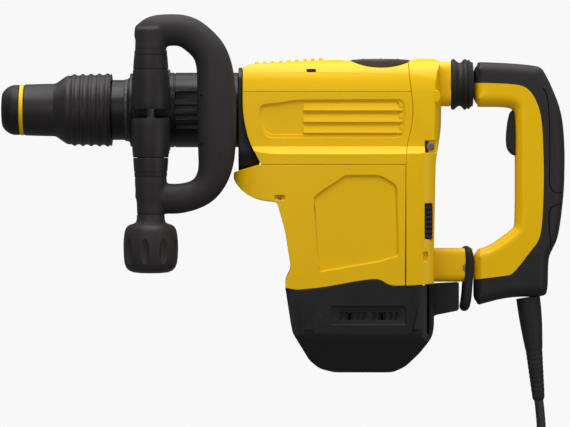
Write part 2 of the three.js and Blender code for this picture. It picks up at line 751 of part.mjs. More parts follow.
function rearHousing() {
  const side = outline([
    [REAR_SEAM + 1 + GAP, 36.5, 6],
    [REAR_SEAM + 1 + GAP, 47],
    [REAR_SEAM + 10, 50.5, 3],
    [REAR_SEAM + 28, 50.5, 2],
    [REAR_SEAM + 32, 47.8],
    [REAR_SEAM + 32, 12],
    [197.2, 0, 4],
    [196, -22, 10],
    [190.5, -52, 10],
    [189, -95, 10],
    [188.7, -140],
    [188.7, -172.5],
    [172, -174, 6],
    [REAR_SEAM - 2, -174.5],
    [REAR_SEAM - 2, LOWER_SEAM],
    [REAR_SEAM - 1.5 + GAP, -40, 8],
    [REAR_SEAM + 6 + GAP, -6, 14],
  ]);
  const plan = (half, front) =>
    outline([
      [front, -half],
      [REAR_SEAM + 22, -half, 12],
      [REAR_SEAM + 34, -half + 18, 12],
      [REAR_SEAM + 34, half - 18, 12],
      [REAR_SEAM + 22, half, 12],
      [front, half],
    ]);
  const blank = common(alongY(side, MOTOR_HALF), alongZ(plan(MOTOR_HALF, 150), -200, 60));
  const upper = common(blank, alongX(coverSection(-0.6), 150, 210));
  const lower = common(blank, block(150, 210, -80, 80, -200, LOWER_SEAM));
  const neck = alongX(rectangle(-22, 22, 4, 47.8, 10), REAR_SEAM + 24, NECK_END);
  const stub = alongX(rectangle(-ARM_HALF, ARM_HALF, -171.4, HAND_GAP_BOTTOM, 7), 180, STUB_END);
  const inner = COVER_HALF - WALL - 3 + GAP;
  const room = common(
    block(150, BODY_LENGTH - 8, -inner, inner, -190, COVER_TOP - 5),
    join(block(140, 210, -inner, inner, -200, FLARE_TOP), alongX(coverSection(WALL + 1.5), 140, 210)),
  );
  const forkRoom = block(PIVOT_X - 24, STUB_END + 1, -9, 9, -180, -130);
  const pin = turnedY(bar(-ARM_HALF - 1, ARM_HALF + 1, PIN_R + GAP), PIVOT_X, PIVOT_Z, 16);
  const springWell = turnedX(bar(REAR_SEAM + 20, NECK_END + 3, 14)).translate(0, 0, 26);
  const whole = join(upper, lower, neck, stub);
  return cut(whole, room, forkRoom, pin, springWell, dialWell(0.8));
}
function motorEndCap() {
  const rear = 189.4;
  const side = outline([
    [42.3, -177.2],
    [47.5, -211],
    [49.5, -221, 3],
    [66, -248.5, 4],
    [76, -257, 5],
    [92, CAP_BASE, 4],
    [148, CAP_BASE, 5],
    [161, -255, 5],
    [175, -241, 4],
    [187, -225, 4],
    [rear, -214, 4],
    [190, -205, 3],
    [STRAP_X - GAP, -200, 3],
    [STRAP_X - GAP, -172.2],
    [172, -174.4, 6],
    [REAR_SEAM - 3, -175],
    ...[...boundary].reverse().map(([x, z, run]) => [x, z - 0.5, run]),
  ]);
  const plan = outline([
    [8, -10, 12],
    [36, -MOTOR_HALF, 22],
    [rear, -MOTOR_HALF, 22],
    [rear, -16],
    [STUB_END, -16],
    [STUB_END, 16],
    [rear, 16],
    [rear, MOTOR_HALF, 22],
    [36, MOTOR_HALF, 22],
    [8, 10, 12],
  ]);
  const taper = alongX(
    outline([
      [-MOTOR_HALF - 1, -160],
      [-MOTOR_HALF - 1, -222, 8],
      [-34, CAP_BASE, 10],
      [34, CAP_BASE, 10],
      [MOTOR_HALF + 1, -222, 8],
      [MOTOR_HALF + 1, -160],
    ]),
    0,
    300,
  );
  const outer = common(alongY(side, MOTOR_HALF + 1), alongZ(plan, -280, -150), taper);
  const half = MOTOR_HALF - WALL - 1;
  const room = alongX(
    outline([
      [-half, -160],
      [-half, -219],
      [-30, CAP_BASE + 5],
      [30, CAP_BASE + 5],
      [half, -219],
      [half, -160],
    ]),
    74,
    168,
  );
  const room2 = block(54, 184, -half, half, -222, -150);
  const low = block(54, 184, -60, 60, -246, -150);
  const slots = [0, 1].flatMap((group) =>
    Array.from({ length: 5 }, (_, i) => {
      const x = 96 + group * 32 + i * 5.4;
      return block(x, x + 2.6, -80, 80, -208, -200.5);
    }),
  );
  return cut(outer, common(join(room, room2), low), ...slots);
}
function lowerGaiter() {
  const path = outline([
    [-7, HAND_GAP_BOTTOM + 2.6, 4],
    [4, HAND_GAP_BOTTOM + 2.6, 4],
    [8.5, -148, 5],
    [5, -167, 6],
    [4, -197, 3],
    [1, -201.5, 3],
    [-7.5, -201.5, 3],
    [-6.5, -196, 3],
    [-6, -168, 5],
    [-2, -150, 5],
  ]);
  const outer = common(
    alongY(path, ARM_HALF + 3),
    alongX(rectangle(-ARM_HALF - 3, ARM_HALF + 3, -203, HAND_GAP_BOTTOM + 3, 9), -20, 20),
  );
  const hole = alongX(rectangle(-ARM_HALF - 0.7, ARM_HALF + 0.7, -198.5, HAND_GAP_BOTTOM + 0.7, 7), -20, 20);
  return cut(outer, hole).translate(PIVOT_X, 0, 0);
}
piece(body, "gearbox_housing", gearboxHousing(), CAST);
piece(body, "top_cover", topCover(), YELLOW);
piece(body, "side_cover_left", sideCover(-1), YELLOW);
piece(body, "side_cover_right", sideCover(1), YELLOW);
piece(body, "motor_housing", motorHousing(), YELLOW);
piece(body, "rear_housing", rearHousing(), YELLOW);
piece(body, "motor_end_cap", motorEndCap(), BLACK);
piece(body, "speed_dial", speedDial(), BLACK);
piece(
  body,
  "handle_pivot_pin",
  turnedY(bar(-ARM_HALF + 0.6, ARM_HALF - 0.6, PIN_R), PIVOT_X, PIVOT_Z, 16),
  STEEL,
);
piece(body, "lower_gaiter", lowerGaiter(), RUBBER);

// ---------------------------------------------------------------- hammer mechanism
function piston() {
  const inner = CYLINDER_BORE_R - 3.7;
  const outer = CYLINDER_BORE_R - 0.2;
  return turnedX([
    [0, 0],
    [0, outer],
    [PISTON_LENGTH, outer],
    [PISTON_LENGTH, inner],
    [10, inner],
    [10, 0],
  ]);
}
function ram() {
  const outer = CYLINDER_BORE_R - 0.2;
  return turnedX([
    [0, 0],
    [0, 12],
    [8, 12],
    [10, outer],
    [8 + RAM_LENGTH, outer],
    [8 + RAM_LENGTH, 0],
  ]);
}
function beatPiece() {
  const head = SPINDLE_COLLAR_R - 11;
  return turnedX([
    [-20, 0],
    [-20, SOCKET_R - 0.5],
    [0, SOCKET_R - 0.5],
    [3, head],
    [34, head],
    [34, 12],
    [44, 12],
    [44, 0],
  ]);
}
function connectingRod() {
  const height = 7;
  const small = turnedZ(bar(-height, height, 8), 0, 0, 16);
  const big = turnedZ(bar(-height, height, 11), ROD_LENGTH);
  const shank = block(4, ROD_LENGTH - 7, -5, 5, -height + 1, height - 1);
  const pin = turnedZ(bar(-12, 12, PIN_R), 0, 0, 16);
  const bore = turnedZ(bar(-height - 1, height + 1, 5.2 + RUNNING), ROD_LENGTH);
  return cut(join(small, big, shank, pin), bore);
}
function crankGear() {
  const low = GEAR_TOP - GEAR_THICKNESS;
  const gear = alongZ(gearOutline(GEAR_TEETH, GEAR_R, Math.PI), low, GEAR_TOP);
  const web = turnedZ(bar(GEAR_TOP - 1, -8.5, GEAR_R * 0.62));
  const pin = turnedZ(bar(-9, 9, 5.2), -CRANK_THROW, 0, 16);
  const shaft = turnedZ(bar(LOWER_SEAM + 4, low + 1, 8));
  return join(gear, web, pin, shaft);
}
const cylinder = tube(SPINDLE_END_X + 3.6, CYLINDER_END_X, CYLINDER_BORE_R, CYLINDER_R);
piece(tool, "cylinder_tube", turnedX(cylinder), STEEL);
piece(tool, "beat_piece", beatPiece(), STEEL, [BARREL_X + 6, 0, 0]);
piece(tool, "ram", ram(), STEEL, [RAM_X, 0, 0]);
piece(tool, "piston", piston(), DARK_STEEL, [PISTON_X, 0, 0]);
piece(tool, "connecting_rod", connectingRod(), STEEL, [PIN_X, 0, 0]);
piece(body, "crank_gear", crankGear(), STEEL, [CRANK_X, 0, 0]);
piece(
  body,
  "crank_bearing",
  turnedZ(tube(LOWER_SEAM + 3.4, LOWER_SEAM + 11, 8 + RUNNING, 16)),
  STEEL,
  [CRANK_X, 0, 0],
);

// ---------------------------------------------------------------- motor
const motor = new THREE.Group();
motor.position.set(BODY_X + MOTOR_X, 0, 0);
tool.add(motor);

const CORE_TOP = -104;
const CORE_BASE = CORE_TOP - CORE_LENGTH;
const FAN_Z = -92;
function rotorShaft() {
  const low = GEAR_TOP - GEAR_THICKNESS;
  const phase = Math.PI / PINION_TEETH; // so that a tooth of the pinion meets a gap of the gear
  const pinion = alongZ(gearOutline(PINION_TEETH, PINION_R, phase), low, GEAR_TOP - 1);
  const shaft = turnedZ(bar(CORE_BASE - 66, low + 1, SHAFT_R - 1.6));
  const thick = turnedZ(bar(CORE_BASE - 56, LOWER_SEAM - 2, SHAFT_R));
  return join(pinion, shaft, thick);
}
const bore = SHAFT_R + GAP;
const bearing = (z0, z1, inner) => turnedZ(tube(z0, z1, inner, 14));
function rotorCore() {
  const ring = turnedZ(tube(CORE_BASE, CORE_TOP, bore, CORE_R));
  const slots = Array.from({ length: 10 }, (_, i) => {
    const angle = (i / 10) * 2 * Math.PI;
    const [x, y] = [(CORE_R + 1) * Math.cos(angle), (CORE_R + 1) * Math.sin(angle)];
    return turnedZ(bar(CORE_BASE - 1, CORE_TOP + 1, 3), x, y, 6);
  });
  return cut(ring, ...slots);
}
function fan() {
  const disc = turnedZ(tube(FAN_Z, FAN_Z + 2, bore, FAN_R));
  const hub = turnedZ(tube(FAN_Z - 5, FAN_Z + 10, bore, 11));
  const blades = Array.from({ length: 10 }, (_, i) => {
    const shape = new THREE.BoxGeometry(FAN_R - 11, 1.8, 9.5);
    shape.translate((FAN_R + 9) / 2, 0, FAN_Z + 6);
    return solid(shape.rotateZ((i / 10) * 2 * Math.PI));
  });
  return join(disc, hub, ...blades);
}
const STATOR_BORE = CORE_R + AIR_GAP;
function statorCore() {
  const ring = turnedZ(tube(CORE_BASE, CORE_TOP, STATOR_BORE, STATOR_R));
  const windows = [0, 1, 2, 3].map((i) => windingBar(i, 0));
  return cut(ring, ...windows);
}
function windingBar(i, inset) {
  const coil = new THREE.BoxGeometry(8 - inset, 22 - inset, CORE_LENGTH + 20);
  coil.translate(STATOR_BORE + 7, 0, CORE_BASE + CORE_LENGTH / 2);
  return solid(coil.rotateZ(Math.PI / 4 + (i * Math.PI) / 2));
}
function statorWindings() {
  const top = turnedZ(tube(CORE_TOP + 0.5, CORE_TOP + 7.5, STATOR_BORE + 1.5, STATOR_R - 3));
  const base = turnedZ(tube(CORE_BASE - 9, CORE_BASE - 0.5, STATOR_BORE + 1.5, STATOR_R - 3));
  const bars = [0, 1, 2, 3].map((i) =>
    common(windingBar(i, 0.8), turnedZ(bar(CORE_BASE - 8, CORE_TOP + 7, 60))),
  );
  return join(top, base, ...bars);
}
const BRUSH_Z = CORE_BASE - 24;
function brushHolder(side) {
  const near = COMMUTATOR_R + 4;
  const far = COMMUTATOR_R + 28;
  const [y0, y1] = side > 0 ? [near, far] : [-far, -near];
  const [i0, i1] = side > 0 ? [near - 1, far - 3] : [-far + 3, -near + 1];
  const shell = block(-7, 7, y0, y1, BRUSH_Z - 9, BRUSH_Z + 9);
  return cut(shell, block(-4.4, 4.4, i0, i1, BRUSH_Z - 6.4, BRUSH_Z + 6.4));
}
function carbonBrush(side) {
  const near = COMMUTATOR_R + 0.8;
  const far = COMMUTATOR_R + 18;
  const [y0, y1] = side > 0 ? [near, far] : [-far, -near];
  return block(-4, 4, y0, y1, BRUSH_Z - 6, BRUSH_Z + 6);
}
piece(motor, "rotor_shaft", rotorShaft(), STEEL);
piece(motor, "rotor_core", rotorCore(), DARK_STEEL);
piece(
  motor,
  "commutator",
  turnedZ(tube(BRUSH_Z - 10, BRUSH_Z + 10, bore, COMMUTATOR_R)),
  COPPER,
);
piece(motor, "cooling_fan", fan(), BLACK);
piece(motor, "stator_core", statorCore(), DARK_STEEL);
piece(motor, "stator_windings", statorWindings(), COPPER);
const journal = SHAFT_R - 1.6 + RUNNING;
piece(motor, "motor_bearing_upper", bearing(LOWER_SEAM + 3.4, LOWER_SEAM + 11, journal), STEEL);
piece(
  motor,
  "motor_bearing_lower",
  bearing(CORE_BASE - 65, CORE_BASE - 57, SHAFT_R - 1.6 + RUNNING),
  STEEL,
);
piece(motor, "brush_holder_left", brushHolder(-1), COPPER);
piece(motor, "brush_holder_right", brushHolder(1), COPPER);
piece(motor, "carbon_brush_left", carbonBrush(-1), BLACK);
piece(motor, "carbon_brush_right", carbonBrush(1), BLACK);
piece(body, "electronics_module", block(166, 180, -26, 26, -150, -84), BOARD);

// ---------------------------------------------------------------- rear handle
const handle = new THREE.Group();
handle.position.x = HANDLE_X;
tool.add(handle);

function bellows() {
  const folds = [
    [1, 22.5],
    [3, 25.5],
    [6, 25.5],
    [9.5, 21.5],
    [12.5, 25.5],
    [15.5, 25.5],
    [18, 23.5],
    [20, 25],
    [BELLOWS_LENGTH, 23.5],
  ];
  const profile = [
    ...folds,
    [BELLOWS_LENGTH, 18],
    [1, 18],
    [1, 22.5],
  ];
  return turnedX(profile).translate(0, 0, 25.6);
}
const gripOuter = [
  [ARM_START, 48, 2],
  [86, 44.5, 4],
  [93, 40, 6],
  [112, -5, 14],
  [114.5, -50, 20],
  [112.5, -97, 10],
  [106, -131, 8],
  [97, -149, 4],
];
const yellowEdge = [
  [97, -131, 10],
  [91.5, -118, 10],
  [93, -60, 20],
  [92, -14, 10],
  [84, 14, 10],
  [76, 24, 10],
  [62, 25.8, 8],
  [ARM_START, 26.4],
];
function handleShell() {
  const c = outline([
    [ARM_START, 26.4],
    [ARM_START, HAND_GAP_TOP],
    [60, HAND_GAP_TOP, 3],
    [65, -3, 4],
    [65, -113, 8],
    [36, -138, 8],
    [LOWER_ARM_START, HAND_GAP_BOTTOM],
    [LOWER_ARM_START, -169],
    [54, -166, 8],
    [80, -149, 14],
    ...[...yellowEdge].slice(1, -1).map(([x, z, run]) => [x - 0.2, z - 0.2, run]),
  ]);
  const plan = outline([
    [10, -GRIP_HALF, 2],
    [140, -GRIP_HALF],
    [140, GRIP_HALF],
    [10, GRIP_HALF, 2],
  ]);
  const body = common(alongY(c, GRIP_HALF), alongZ(plan, -200, 60));
  const tongue = alongY(
    outline([
      [PIVOT_X - NECK_END - 9, PIVOT_Z + 7, 5],
      [30, PIVOT_Z + 9],
      [30, PIVOT_Z - 9],
      [PIVOT_X - NECK_END - 9, PIVOT_Z - 7, 5],
    ]),
    8,
  );
  const pin = turnedY(bar(-12, 12, PIN_R + RUNNING), PIVOT_X - NECK_END, PIVOT_Z, 16);
  const triggerRoom = block(60, 86, -TRIGGER_HALF - 1, TRIGGER_HALF + 1, -56, 2);
  return cut(join(body, tongue), pin, triggerRoom);
}
function overmould() {
  const inner = [...yellowEdge].reverse().map(([x, z, run]) => [x + 0.2, z + 0.2, run]);
  const shape = outline([...gripOuter, [94, -150], ...[...inner].reverse()]);
  return common(
    alongY(shape, GRIP_HALF + 1),
    alongZ(rectangle(20, 115, -GRIP_HALF - 1, GRIP_HALF + 1, 9), -200, 60),
  );
}
function underside() {
  const shape = outline([
    [LOWER_ARM_START, -169.4],
    [54, -166.4, 8],
    [80, -149.4, 14],
    [84.5, -143.4, 4],
    [92, -150.6],
    [97, -150.6, 3],
    [97.2, -181, 3],
    [94, -187],
    [64, -187, 3],
    [57, -187],
    [LOWER_ARM_START, -196],
  ]);
  return alongY(shape, GRIP_HALF - 2);
}
function trigger() {
  const shape = outline([
    [61, 0.4, 2],
    [55.4, -33, 4],
    [57, -41, 4],
    [66, -46.3, 2],
    [72, -44, 2],
    [72, 0.4, 2],
  ]);
  return alongY(shape, TRIGGER_HALF);
}
function strainRelief() {
  const tilt = 0.111;
  const length = 97;
  const cone = turnedZ([
    [-length, 0],
    [-length, 5.4],
    [-length + 3, 6.9],
    [-40, 9.4],
    [-2, 12],
    [0, 11.4],
    [0, 0],
  ], 0, 0, 16);
  const turned = cone.rotate([0, (-tilt * 180) / Math.PI, 0]);
  const stem = turnedZ(bar(-8, 5.6, 9), 0, 0, 16);
  return join(turned, stem);
}
piece(handle, "upper_bellows", bellows(), RUBBER);
piece(handle, "damper_spring", springX(-8, 22, 10, 1.8, 5).translate(0, 0, 25.6), STEEL);
piece(handle, "handle_shell", handleShell(), YELLOW);
piece(handle, "handle_overmould", overmould(), RUBBER);
piece(handle, "handle_underside", underside(), BLACK);
piece(handle, "trigger", trigger(), BLACK);
piece(handle, "switch_module", block(79.5, 85.4, -7, 7, -50, -6), BLACK);
piece(handle, "trigger_spring", springX(0, 6.6, 3, 0.5, 3), STEEL, [72.4, 0, -38]);
piece(handle, "strain_relief", strainRelief(), RUBBER, [78, 0, -193]);

// ---------------------------------------------------------------- cord
// From the strain relief down to the ground, round the coil and on to the plug. The points are chosen by hand
// in the frame of the whole part, whose origin is the middle of the rear grip.
const cord = new THREE.Group();
const GROUND = -300;
const COIL_X = -125;
const COIL_TURN_R = COIL_MID_R + 2 * CORD_R; // of the outermost turns
const LEAD = [
  [-0.2, -221.9],
  [1.9, -240],
  [2.4, -255],
  [-2.4, -272],
  [-14.5, -286],
  [-33, -294],
  [-55, GROUND + CORD_R],
  [-90, GROUND + CORD_R],
  [COIL_X, GROUND + CORD_R],
];
const TAIL = [
  [COIL_X, -267.2],
  [-150, -267.2],
  [-172, -270],
  [-195, -279],
  [-213, -288.5],
  [-228, -291],
  [-240, -291],
];
function cordTube(points) {
  const route = new THREE.CatmullRomCurve3(points.map(([x, z]) => new THREE.Vector3(x, 0, z)));
  const section = new THREE.Shape().absarc(0, 0, CORD_R, 0, 2 * Math.PI);
  const steps = points.length * 2;
  return solid(
    new THREE.ExtrudeGeometry(section, { steps, extrudePath: route, curveSegments: 5 }),
  );
}
function coilRing(grow) {
  const half = COIL_WIDTH / 2 + grow;
  const ring = tube(GROUND - grow, GROUND + COIL_HEIGHT + grow, COIL_MID_R - half, COIL_MID_R + half);
  return turnedZ(ring, COIL_X, COIL_TURN_R);
}
function clearOfCoil(points) {
  const open = cut(cordTube(points), coilRing(GAP));
  const largest = open.decompose().sort((a, b) => b.volume() - a.volume());
  return largest[0];
}
function plug() {
  const [x, z] = TAIL[TAIL.length - 1];
  const entry = turnedX(
    [
      [-16, 0],
      [-16, 9],
      [-GAP, 6.4],
      [-GAP, 0],
    ],
    12,
  );
  const shell = alongZ(
    outline([
      [-PLUG_LENGTH, -17.5, 5],
      [-18, -17.5, 12],
      [-14, -8, 3],
      [-14, 8, 3],
      [-18, 17.5, 12],
      [-PLUG_LENGTH, 17.5, 5],
    ]),
    -9,
    9,
  );
  const pin = (y) => turnedX(bar(-PLUG_LENGTH - 19, -PLUG_LENGTH + 1, 2.4), 12).translate(0, y, 0);
  return join(shell, entry, pin(-9.5), pin(9.5)).translate(x, 0, z);
}
piece(cord, "power_cord", clearOfCoil(LEAD), RUBBER);
piece(cord, "cord_coil", coilRing(0), RUBBER);
piece(cord, "cord_tail", clearOfCoil(TAIL), RUBBER);
piece(cord, "plug_body", plug(), RUBBER);

tool.position.set(-GRIP_X, 0, -GRIP_Z);
const hammer = new THREE.Group();
hammer.add(tool, cord);

export default hammer;
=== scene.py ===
import math

import bpy
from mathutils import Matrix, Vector


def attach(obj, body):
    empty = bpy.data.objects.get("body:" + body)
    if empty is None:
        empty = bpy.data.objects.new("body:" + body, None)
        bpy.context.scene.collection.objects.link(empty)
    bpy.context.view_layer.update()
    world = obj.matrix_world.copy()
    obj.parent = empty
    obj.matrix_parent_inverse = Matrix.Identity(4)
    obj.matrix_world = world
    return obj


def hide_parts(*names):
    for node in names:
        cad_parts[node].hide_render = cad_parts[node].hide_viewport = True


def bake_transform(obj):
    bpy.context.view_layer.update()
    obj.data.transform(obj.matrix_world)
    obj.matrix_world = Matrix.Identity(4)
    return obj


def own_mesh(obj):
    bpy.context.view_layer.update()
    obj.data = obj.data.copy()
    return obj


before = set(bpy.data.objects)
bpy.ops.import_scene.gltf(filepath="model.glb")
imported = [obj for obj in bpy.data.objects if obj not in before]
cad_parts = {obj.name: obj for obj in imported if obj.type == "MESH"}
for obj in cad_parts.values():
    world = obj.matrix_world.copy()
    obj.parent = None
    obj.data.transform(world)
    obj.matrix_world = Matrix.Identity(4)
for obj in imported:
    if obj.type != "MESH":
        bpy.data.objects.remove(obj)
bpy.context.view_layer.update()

# ------------------------------------------------------------------ studio
# A long lens level with the hammer's body, a pale sweep of card that runs from the floor up behind it, and
# four soft lights: above, by the camera, low on the right, and one that washes the card from behind.
MM = 0.001
VIEW_CENTRE = (-254, -35.5)
VIEW_WIDTH = 570
CAMERA_DISTANCE = 3200
FLOOR = -300.6


def at(*place):
    """A place given in millimetres, turned into metres."""
    return Vector(place) * MM


camera = bpy.data.objects.new("camera", bpy.data.cameras.new("camera"))
bpy.context.collection.objects.link(camera)
camera.location = at(VIEW_CENTRE[0], -CAMERA_DISTANCE, VIEW_CENTRE[1])
camera.rotation_euler = (math.pi / 2, 0, 0)
camera.data.sensor_width = 36
camera.data.lens = camera.data.sensor_width * CAMERA_DISTANCE / VIEW_WIDTH
camera.data.clip_end = 100
bpy.context.scene.camera = camera


class Value:
    """One socket of a material, so that sums on it read as plain arithmetic."""

    def __init__(self, tree, socket):
        self.tree = tree
        self.socket = socket

    def math(self, operation, *terms):
        node = self.tree.nodes.new("ShaderNodeMath")
        node.operation = operation
        for slot, term in zip(node.inputs, terms):
            join(self.tree, term, slot)
        return Value(self.tree, node.outputs[0])

    def __add__(self, other):
        return self.math("ADD", self, other)

    def __sub__(self, other):
        return self.math("SUBTRACT", self, other)

    def __mul__(self, other):
        return self.math("MULTIPLY", self, other)

    def __rsub__(self, other):
        return self.math("SUBTRACT", other, self)

    __radd__ = __add__
    __rmul__ = __mul__

    def above(self, edge, soft):
        """1 where the value is above edge, 0 below it, with a soft step between."""
        ramp = self.math("DIVIDE", self - (edge - soft), 2 * soft)
        return ramp.math("MINIMUM", ramp.math("MAXIMUM", ramp, 0), 1)


def join(tree, term, socket):
    if isinstance(term, Value):
        tree.links.new(term.socket, socket)
    else:
        socket.default_value = term


class Finish:
    """A material put together one node at a time, on the place of each point in the frame."""

    def __init__(self, name, **surface):
        self.material = bpy.data.materials.new(name)
        self.material.use_nodes = True
        self.tree = self.material.node_tree
        self.shader = self.tree.nodes["Principled BSDF"]
        self.place = self.node("TexCoord", output="Object")
        self.surface(**surface)

    def node(self, kind, settings=None, output=0, **inputs):
        made = self.tree.nodes.new("ShaderNode" + kind)
        for name, setting in (settings or {}).items():
            if name == "stops":
                ramp = made.color_ramp.elements
                ramp[0].position, ramp[0].color = setting[0]
                ramp[1].position, ramp[1].color = setting[-1]
                for position, colour in setting[1:-1]:
                    ramp.new(position).color = colour
            else:
                setattr(made, name, setting)
        for name, term in inputs.items():
            slots = [s for s in made.inputs if s.name.replace(" ", "") == name and s.enabled]
            join(self.tree, term, slots[0])
        return Value(self.tree, made.outputs[output])

    def surface(self, **inputs):
        for name, term in inputs.items():
            spaced = "".join(" " + c if c.isupper() and i else c for i, c in enumerate(name))
            join(self.tree, term, self.shader.inputs[spaced.replace("I O R", "IOR")])
        return self

    def noise(self, size, detail=3, roughness=0.5, stretch=(1, 1, 1)):
        """Soft random clouds, with blobs of about the given size in millimetres."""
        scaled = self.node("Mapping", Vector=self.place, Scale=stretch)
        settings = {"noise_dimensions": "3D"}
        return self.node("TexNoise", settings, Vector=scaled, Scale=1 / (size * MM), Detail=detail,
            Roughness=roughness)

    def mix(self, mask, low, high):
        """One colour where the mask is 0, the other where it is 1."""
        made = self.tree.nodes.new("ShaderNodeMix")
        made.data_type = "RGBA"
        join(self.tree, mask, made.inputs[0])
        join(self.tree, low, made.inputs[6])
        join(self.tree, high, made.inputs[7])
        return Value(self.tree, made.outputs[2])

    def bumps(self, *layers):
        """Stacks bumps, each a height from 0 to 1 and how many millimetres it stands."""
        normal = None
        for height, depth in layers:
            inputs = {"Height": height, "Distance": depth * MM, "Strength": 1.0}
            if normal:
                inputs["Normal"] = normal
            normal = self.node("Bump", **inputs)
        return self.surface(Normal=normal)


def shade(red, green, blue):
    """A colour given as a paint chip's 0 to 255, as linear light."""
    linear = [c / 255 / 12.92 if c < 11 else ((c / 255 + 0.055) / 1.055) ** 2.4 for c in (red, green, blue)]
    return (*linear, 1)


def deselected():
    if bpy.context.object and bpy.context.object.mode != "OBJECT":
        bpy.ops.object.mode_set(mode="OBJECT")
    bpy.ops.object.select_all(action="DESELECT")


def traced(name, points, closed=False):
    """A line of points in millimetres, drawn by extruding one point after another, left in edit mode."""
    deselected()
    bpy.ops.mesh.primitive_plane_add(size=MM, location=at(*points[0]))
    piece = bpy.context.object
    piece.name = name
    bpy.ops.object.transform_apply(location=True)
    bpy.ops.object.mode_set(mode="EDIT")
    bpy.context.tool_settings.mesh_select_mode = (True, False, False)
    bpy.ops.mesh.select_all(action="SELECT")
    bpy.ops.mesh.merge(type="CENTER")
    for before, after in zip(points, points[1:]):
        step = at(*after) - at(*before)
        bpy.ops.mesh.extrude_region_move(TRANSFORM_OT_translate={"value": step})
    bpy.ops.mesh.select_all(action="SELECT")
    if closed:
        bpy.ops.mesh.edge_face_add()
    return piece


SWEEP = [(y, z) for y, z in ((-4200, FLOOR), (900, FLOOR), (1300, FLOOR + 40), (1620, FLOOR + 180))]
SWEEP += [(1820, FLOOR + 420), (1900, FLOOR + 760), (1900, 2600)]
sweep = traced("studio_sweep", [(-4200, y, z) for y, z in SWEEP])
bpy.ops.mesh.extrude_region_move(TRANSFORM_OT_translate={"value": at(8400, 0, 0)})
bpy.ops.object.mode_set(mode="OBJECT")
bpy.ops.object.shade_smooth()
card = Finish("pale_card", Roughness=0.9)
card.surface(BaseColor=card.mix(card.noise(180), shade(246, 246, 245), shade(249, 249, 248)))
sweep.data.materials.append(card.material)
if sweep.data.polygons[len(sweep.data.polygons) - 1].normal.y > 0:
    sweep.data.flip_normals()
from_behind = card.node("NewGeometry", output="Backfacing")
seen = card.node("MixShader", Fac=from_behind)
card.tree.links.new(card.shader.outputs[0], seen.socket.node.inputs[1])
card.tree.links.new(card.node("BsdfTransparent").socket, seen.socket.node.inputs[2])
card.tree.links.new(seen.socket, card.tree.nodes["Material Output"].inputs["Surface"])

LIGHTS = {
    "light_above": ((-300, -480, 1450), (-250, 0, 0), 1300, 29),
    "light_by_camera": ((-900, -2500, 500), (-260, 0, 0), 1500, 8.5),
    "light_low_right": ((1200, -1300, -120), (-200, 0, -60), 900, 5),
    "light_behind": ((-250, 900, 1300), (-250, 1900, 200), 2400, 30),
}
for name, (place, target, size, power) in LIGHTS.items():
    lamp = bpy.data.lights.new(name, "AREA")
    lamp.shape = "SQUARE"
    lamp.size = size * MM
    lamp.energy = power
    light = bpy.data.objects.new(name, lamp)
    light.location = at(*place)
    light.rotation_euler = (at(*target) - at(*place)).to_track_quat("-Z", "Y").to_euler()
    bpy.context.collection.objects.link(light)
    light.visible_camera = False

AIR_LIGHT = 0.2
world = bpy.data.worlds.new("studio_air")
world.use_nodes = True
world.node_tree.nodes["Background"].inputs["Color"].default_value = (1, 1, 1, 1)
air = world.node_tree.nodes["Background"]
air.inputs["Strength"].default_value = AIR_LIGHT
backdrop = world.node_tree.nodes.new("ShaderNodeBackground")
backdrop.inputs["Color"].default_value = (0.94, 0.94, 0.94, 1)
sight = world.node_tree.nodes.new("ShaderNodeLightPath")
either = world.node_tree.nodes.new("ShaderNodeMixShader")
world.node_tree.links.new(sight.outputs["Is Camera Ray"], either.inputs[0])
world.node_tree.links.new(air.outputs[0], either.inputs[1])
world.node_tree.links.new(backdrop.outputs[0], either.inputs[2])
world.node_tree.links.new(either.outputs[0], world.node_tree.nodes["World Output"].inputs["Surface"])
bpy.context.scene.world = world
bpy.context.scene.view_settings.view_transform = "Standard"

# ------------------------------------------------------------------ mains cord
# A rubber-sheathed two-core cord, 9.2 mm thick. It drops out of the strain relief to the floor, where its
# 4 m is wound for storage into a round coil of four layers, three turns wide, with a tie round it.
CORD = 9.2
CORD_LEAD = [(-0.2, -221.9), (1.9, -240), (2.4, -255), (-2.4, -272), (-14.5, -286), (-33, -294),
    (-55, -295.4), (-90, -295.4)]
CORD_TAIL = [(-150, -267.2), (-172, -270), (-195, -279), (-213, -288.5), (-228, -291), (-240, -291)]
COIL_CENTRE = (-125, 59.2)
COIL_MID = 50
COIL_COLUMN = 9.6
COIL_LAYER = 9.4
COIL_STEPS = 28
STEP_WIDTH = 0.13

cord_lay = [(x, 0, z) for x, z in CORD_LEAD]
moves = [(1, -1, 0), (2, -1, 0), (3, 0, 1), (4, 1, 0), (5, 1, 0), (6, 0, 1)]
moves += [(7, -1, 0), (8, -1, 0), (9, 0, 1), (10, 1, 0), (11, 1, 0)]
kind_before = None
shift = 0
changes = []
for turn, inward, upward in moves:
    kind = (inward, upward)
    if kind_before and kind != kind_before:
        shift += STEP_WIDTH
    kind_before = kind
    changes.append((turn - STEP_WIDTH - shift, inward * COIL_COLUMN, upward * COIL_LAYER))
for step in range(12 * COIL_STEPS + 1):
    turn = step / COIL_STEPS
    radius = COIL_MID + COIL_COLUMN
    height = CORD_LEAD[-1][1]
    for start, out, up in changes:
        eased = min(max((turn - start) / STEP_WIDTH, 0), 1)
        eased = eased * eased * (3 - 2 * eased)
        radius += out * eased
        height += up * eased
    angle = -math.pi / 2 - 2 * math.pi * turn
    cord_lay.append((COIL_CENTRE[0] + radius * math.cos(angle), COIL_CENTRE[1] + radius * math.sin(angle),
        height))
cord_lay += [(x, 0, z) for x, z in CORD_TAIL]
cord_curve = bpy.data.curves.new("supply_cord", "CURVE")
cord_curve.dimensions = "3D"
cord_curve.bevel_depth = CORD / 2 * MM
cord_curve.bevel_resolution = 5
cord_curve.resolution_u = 3
cord_curve.use_fill_caps = True
spline = cord_curve.splines.new("NURBS")
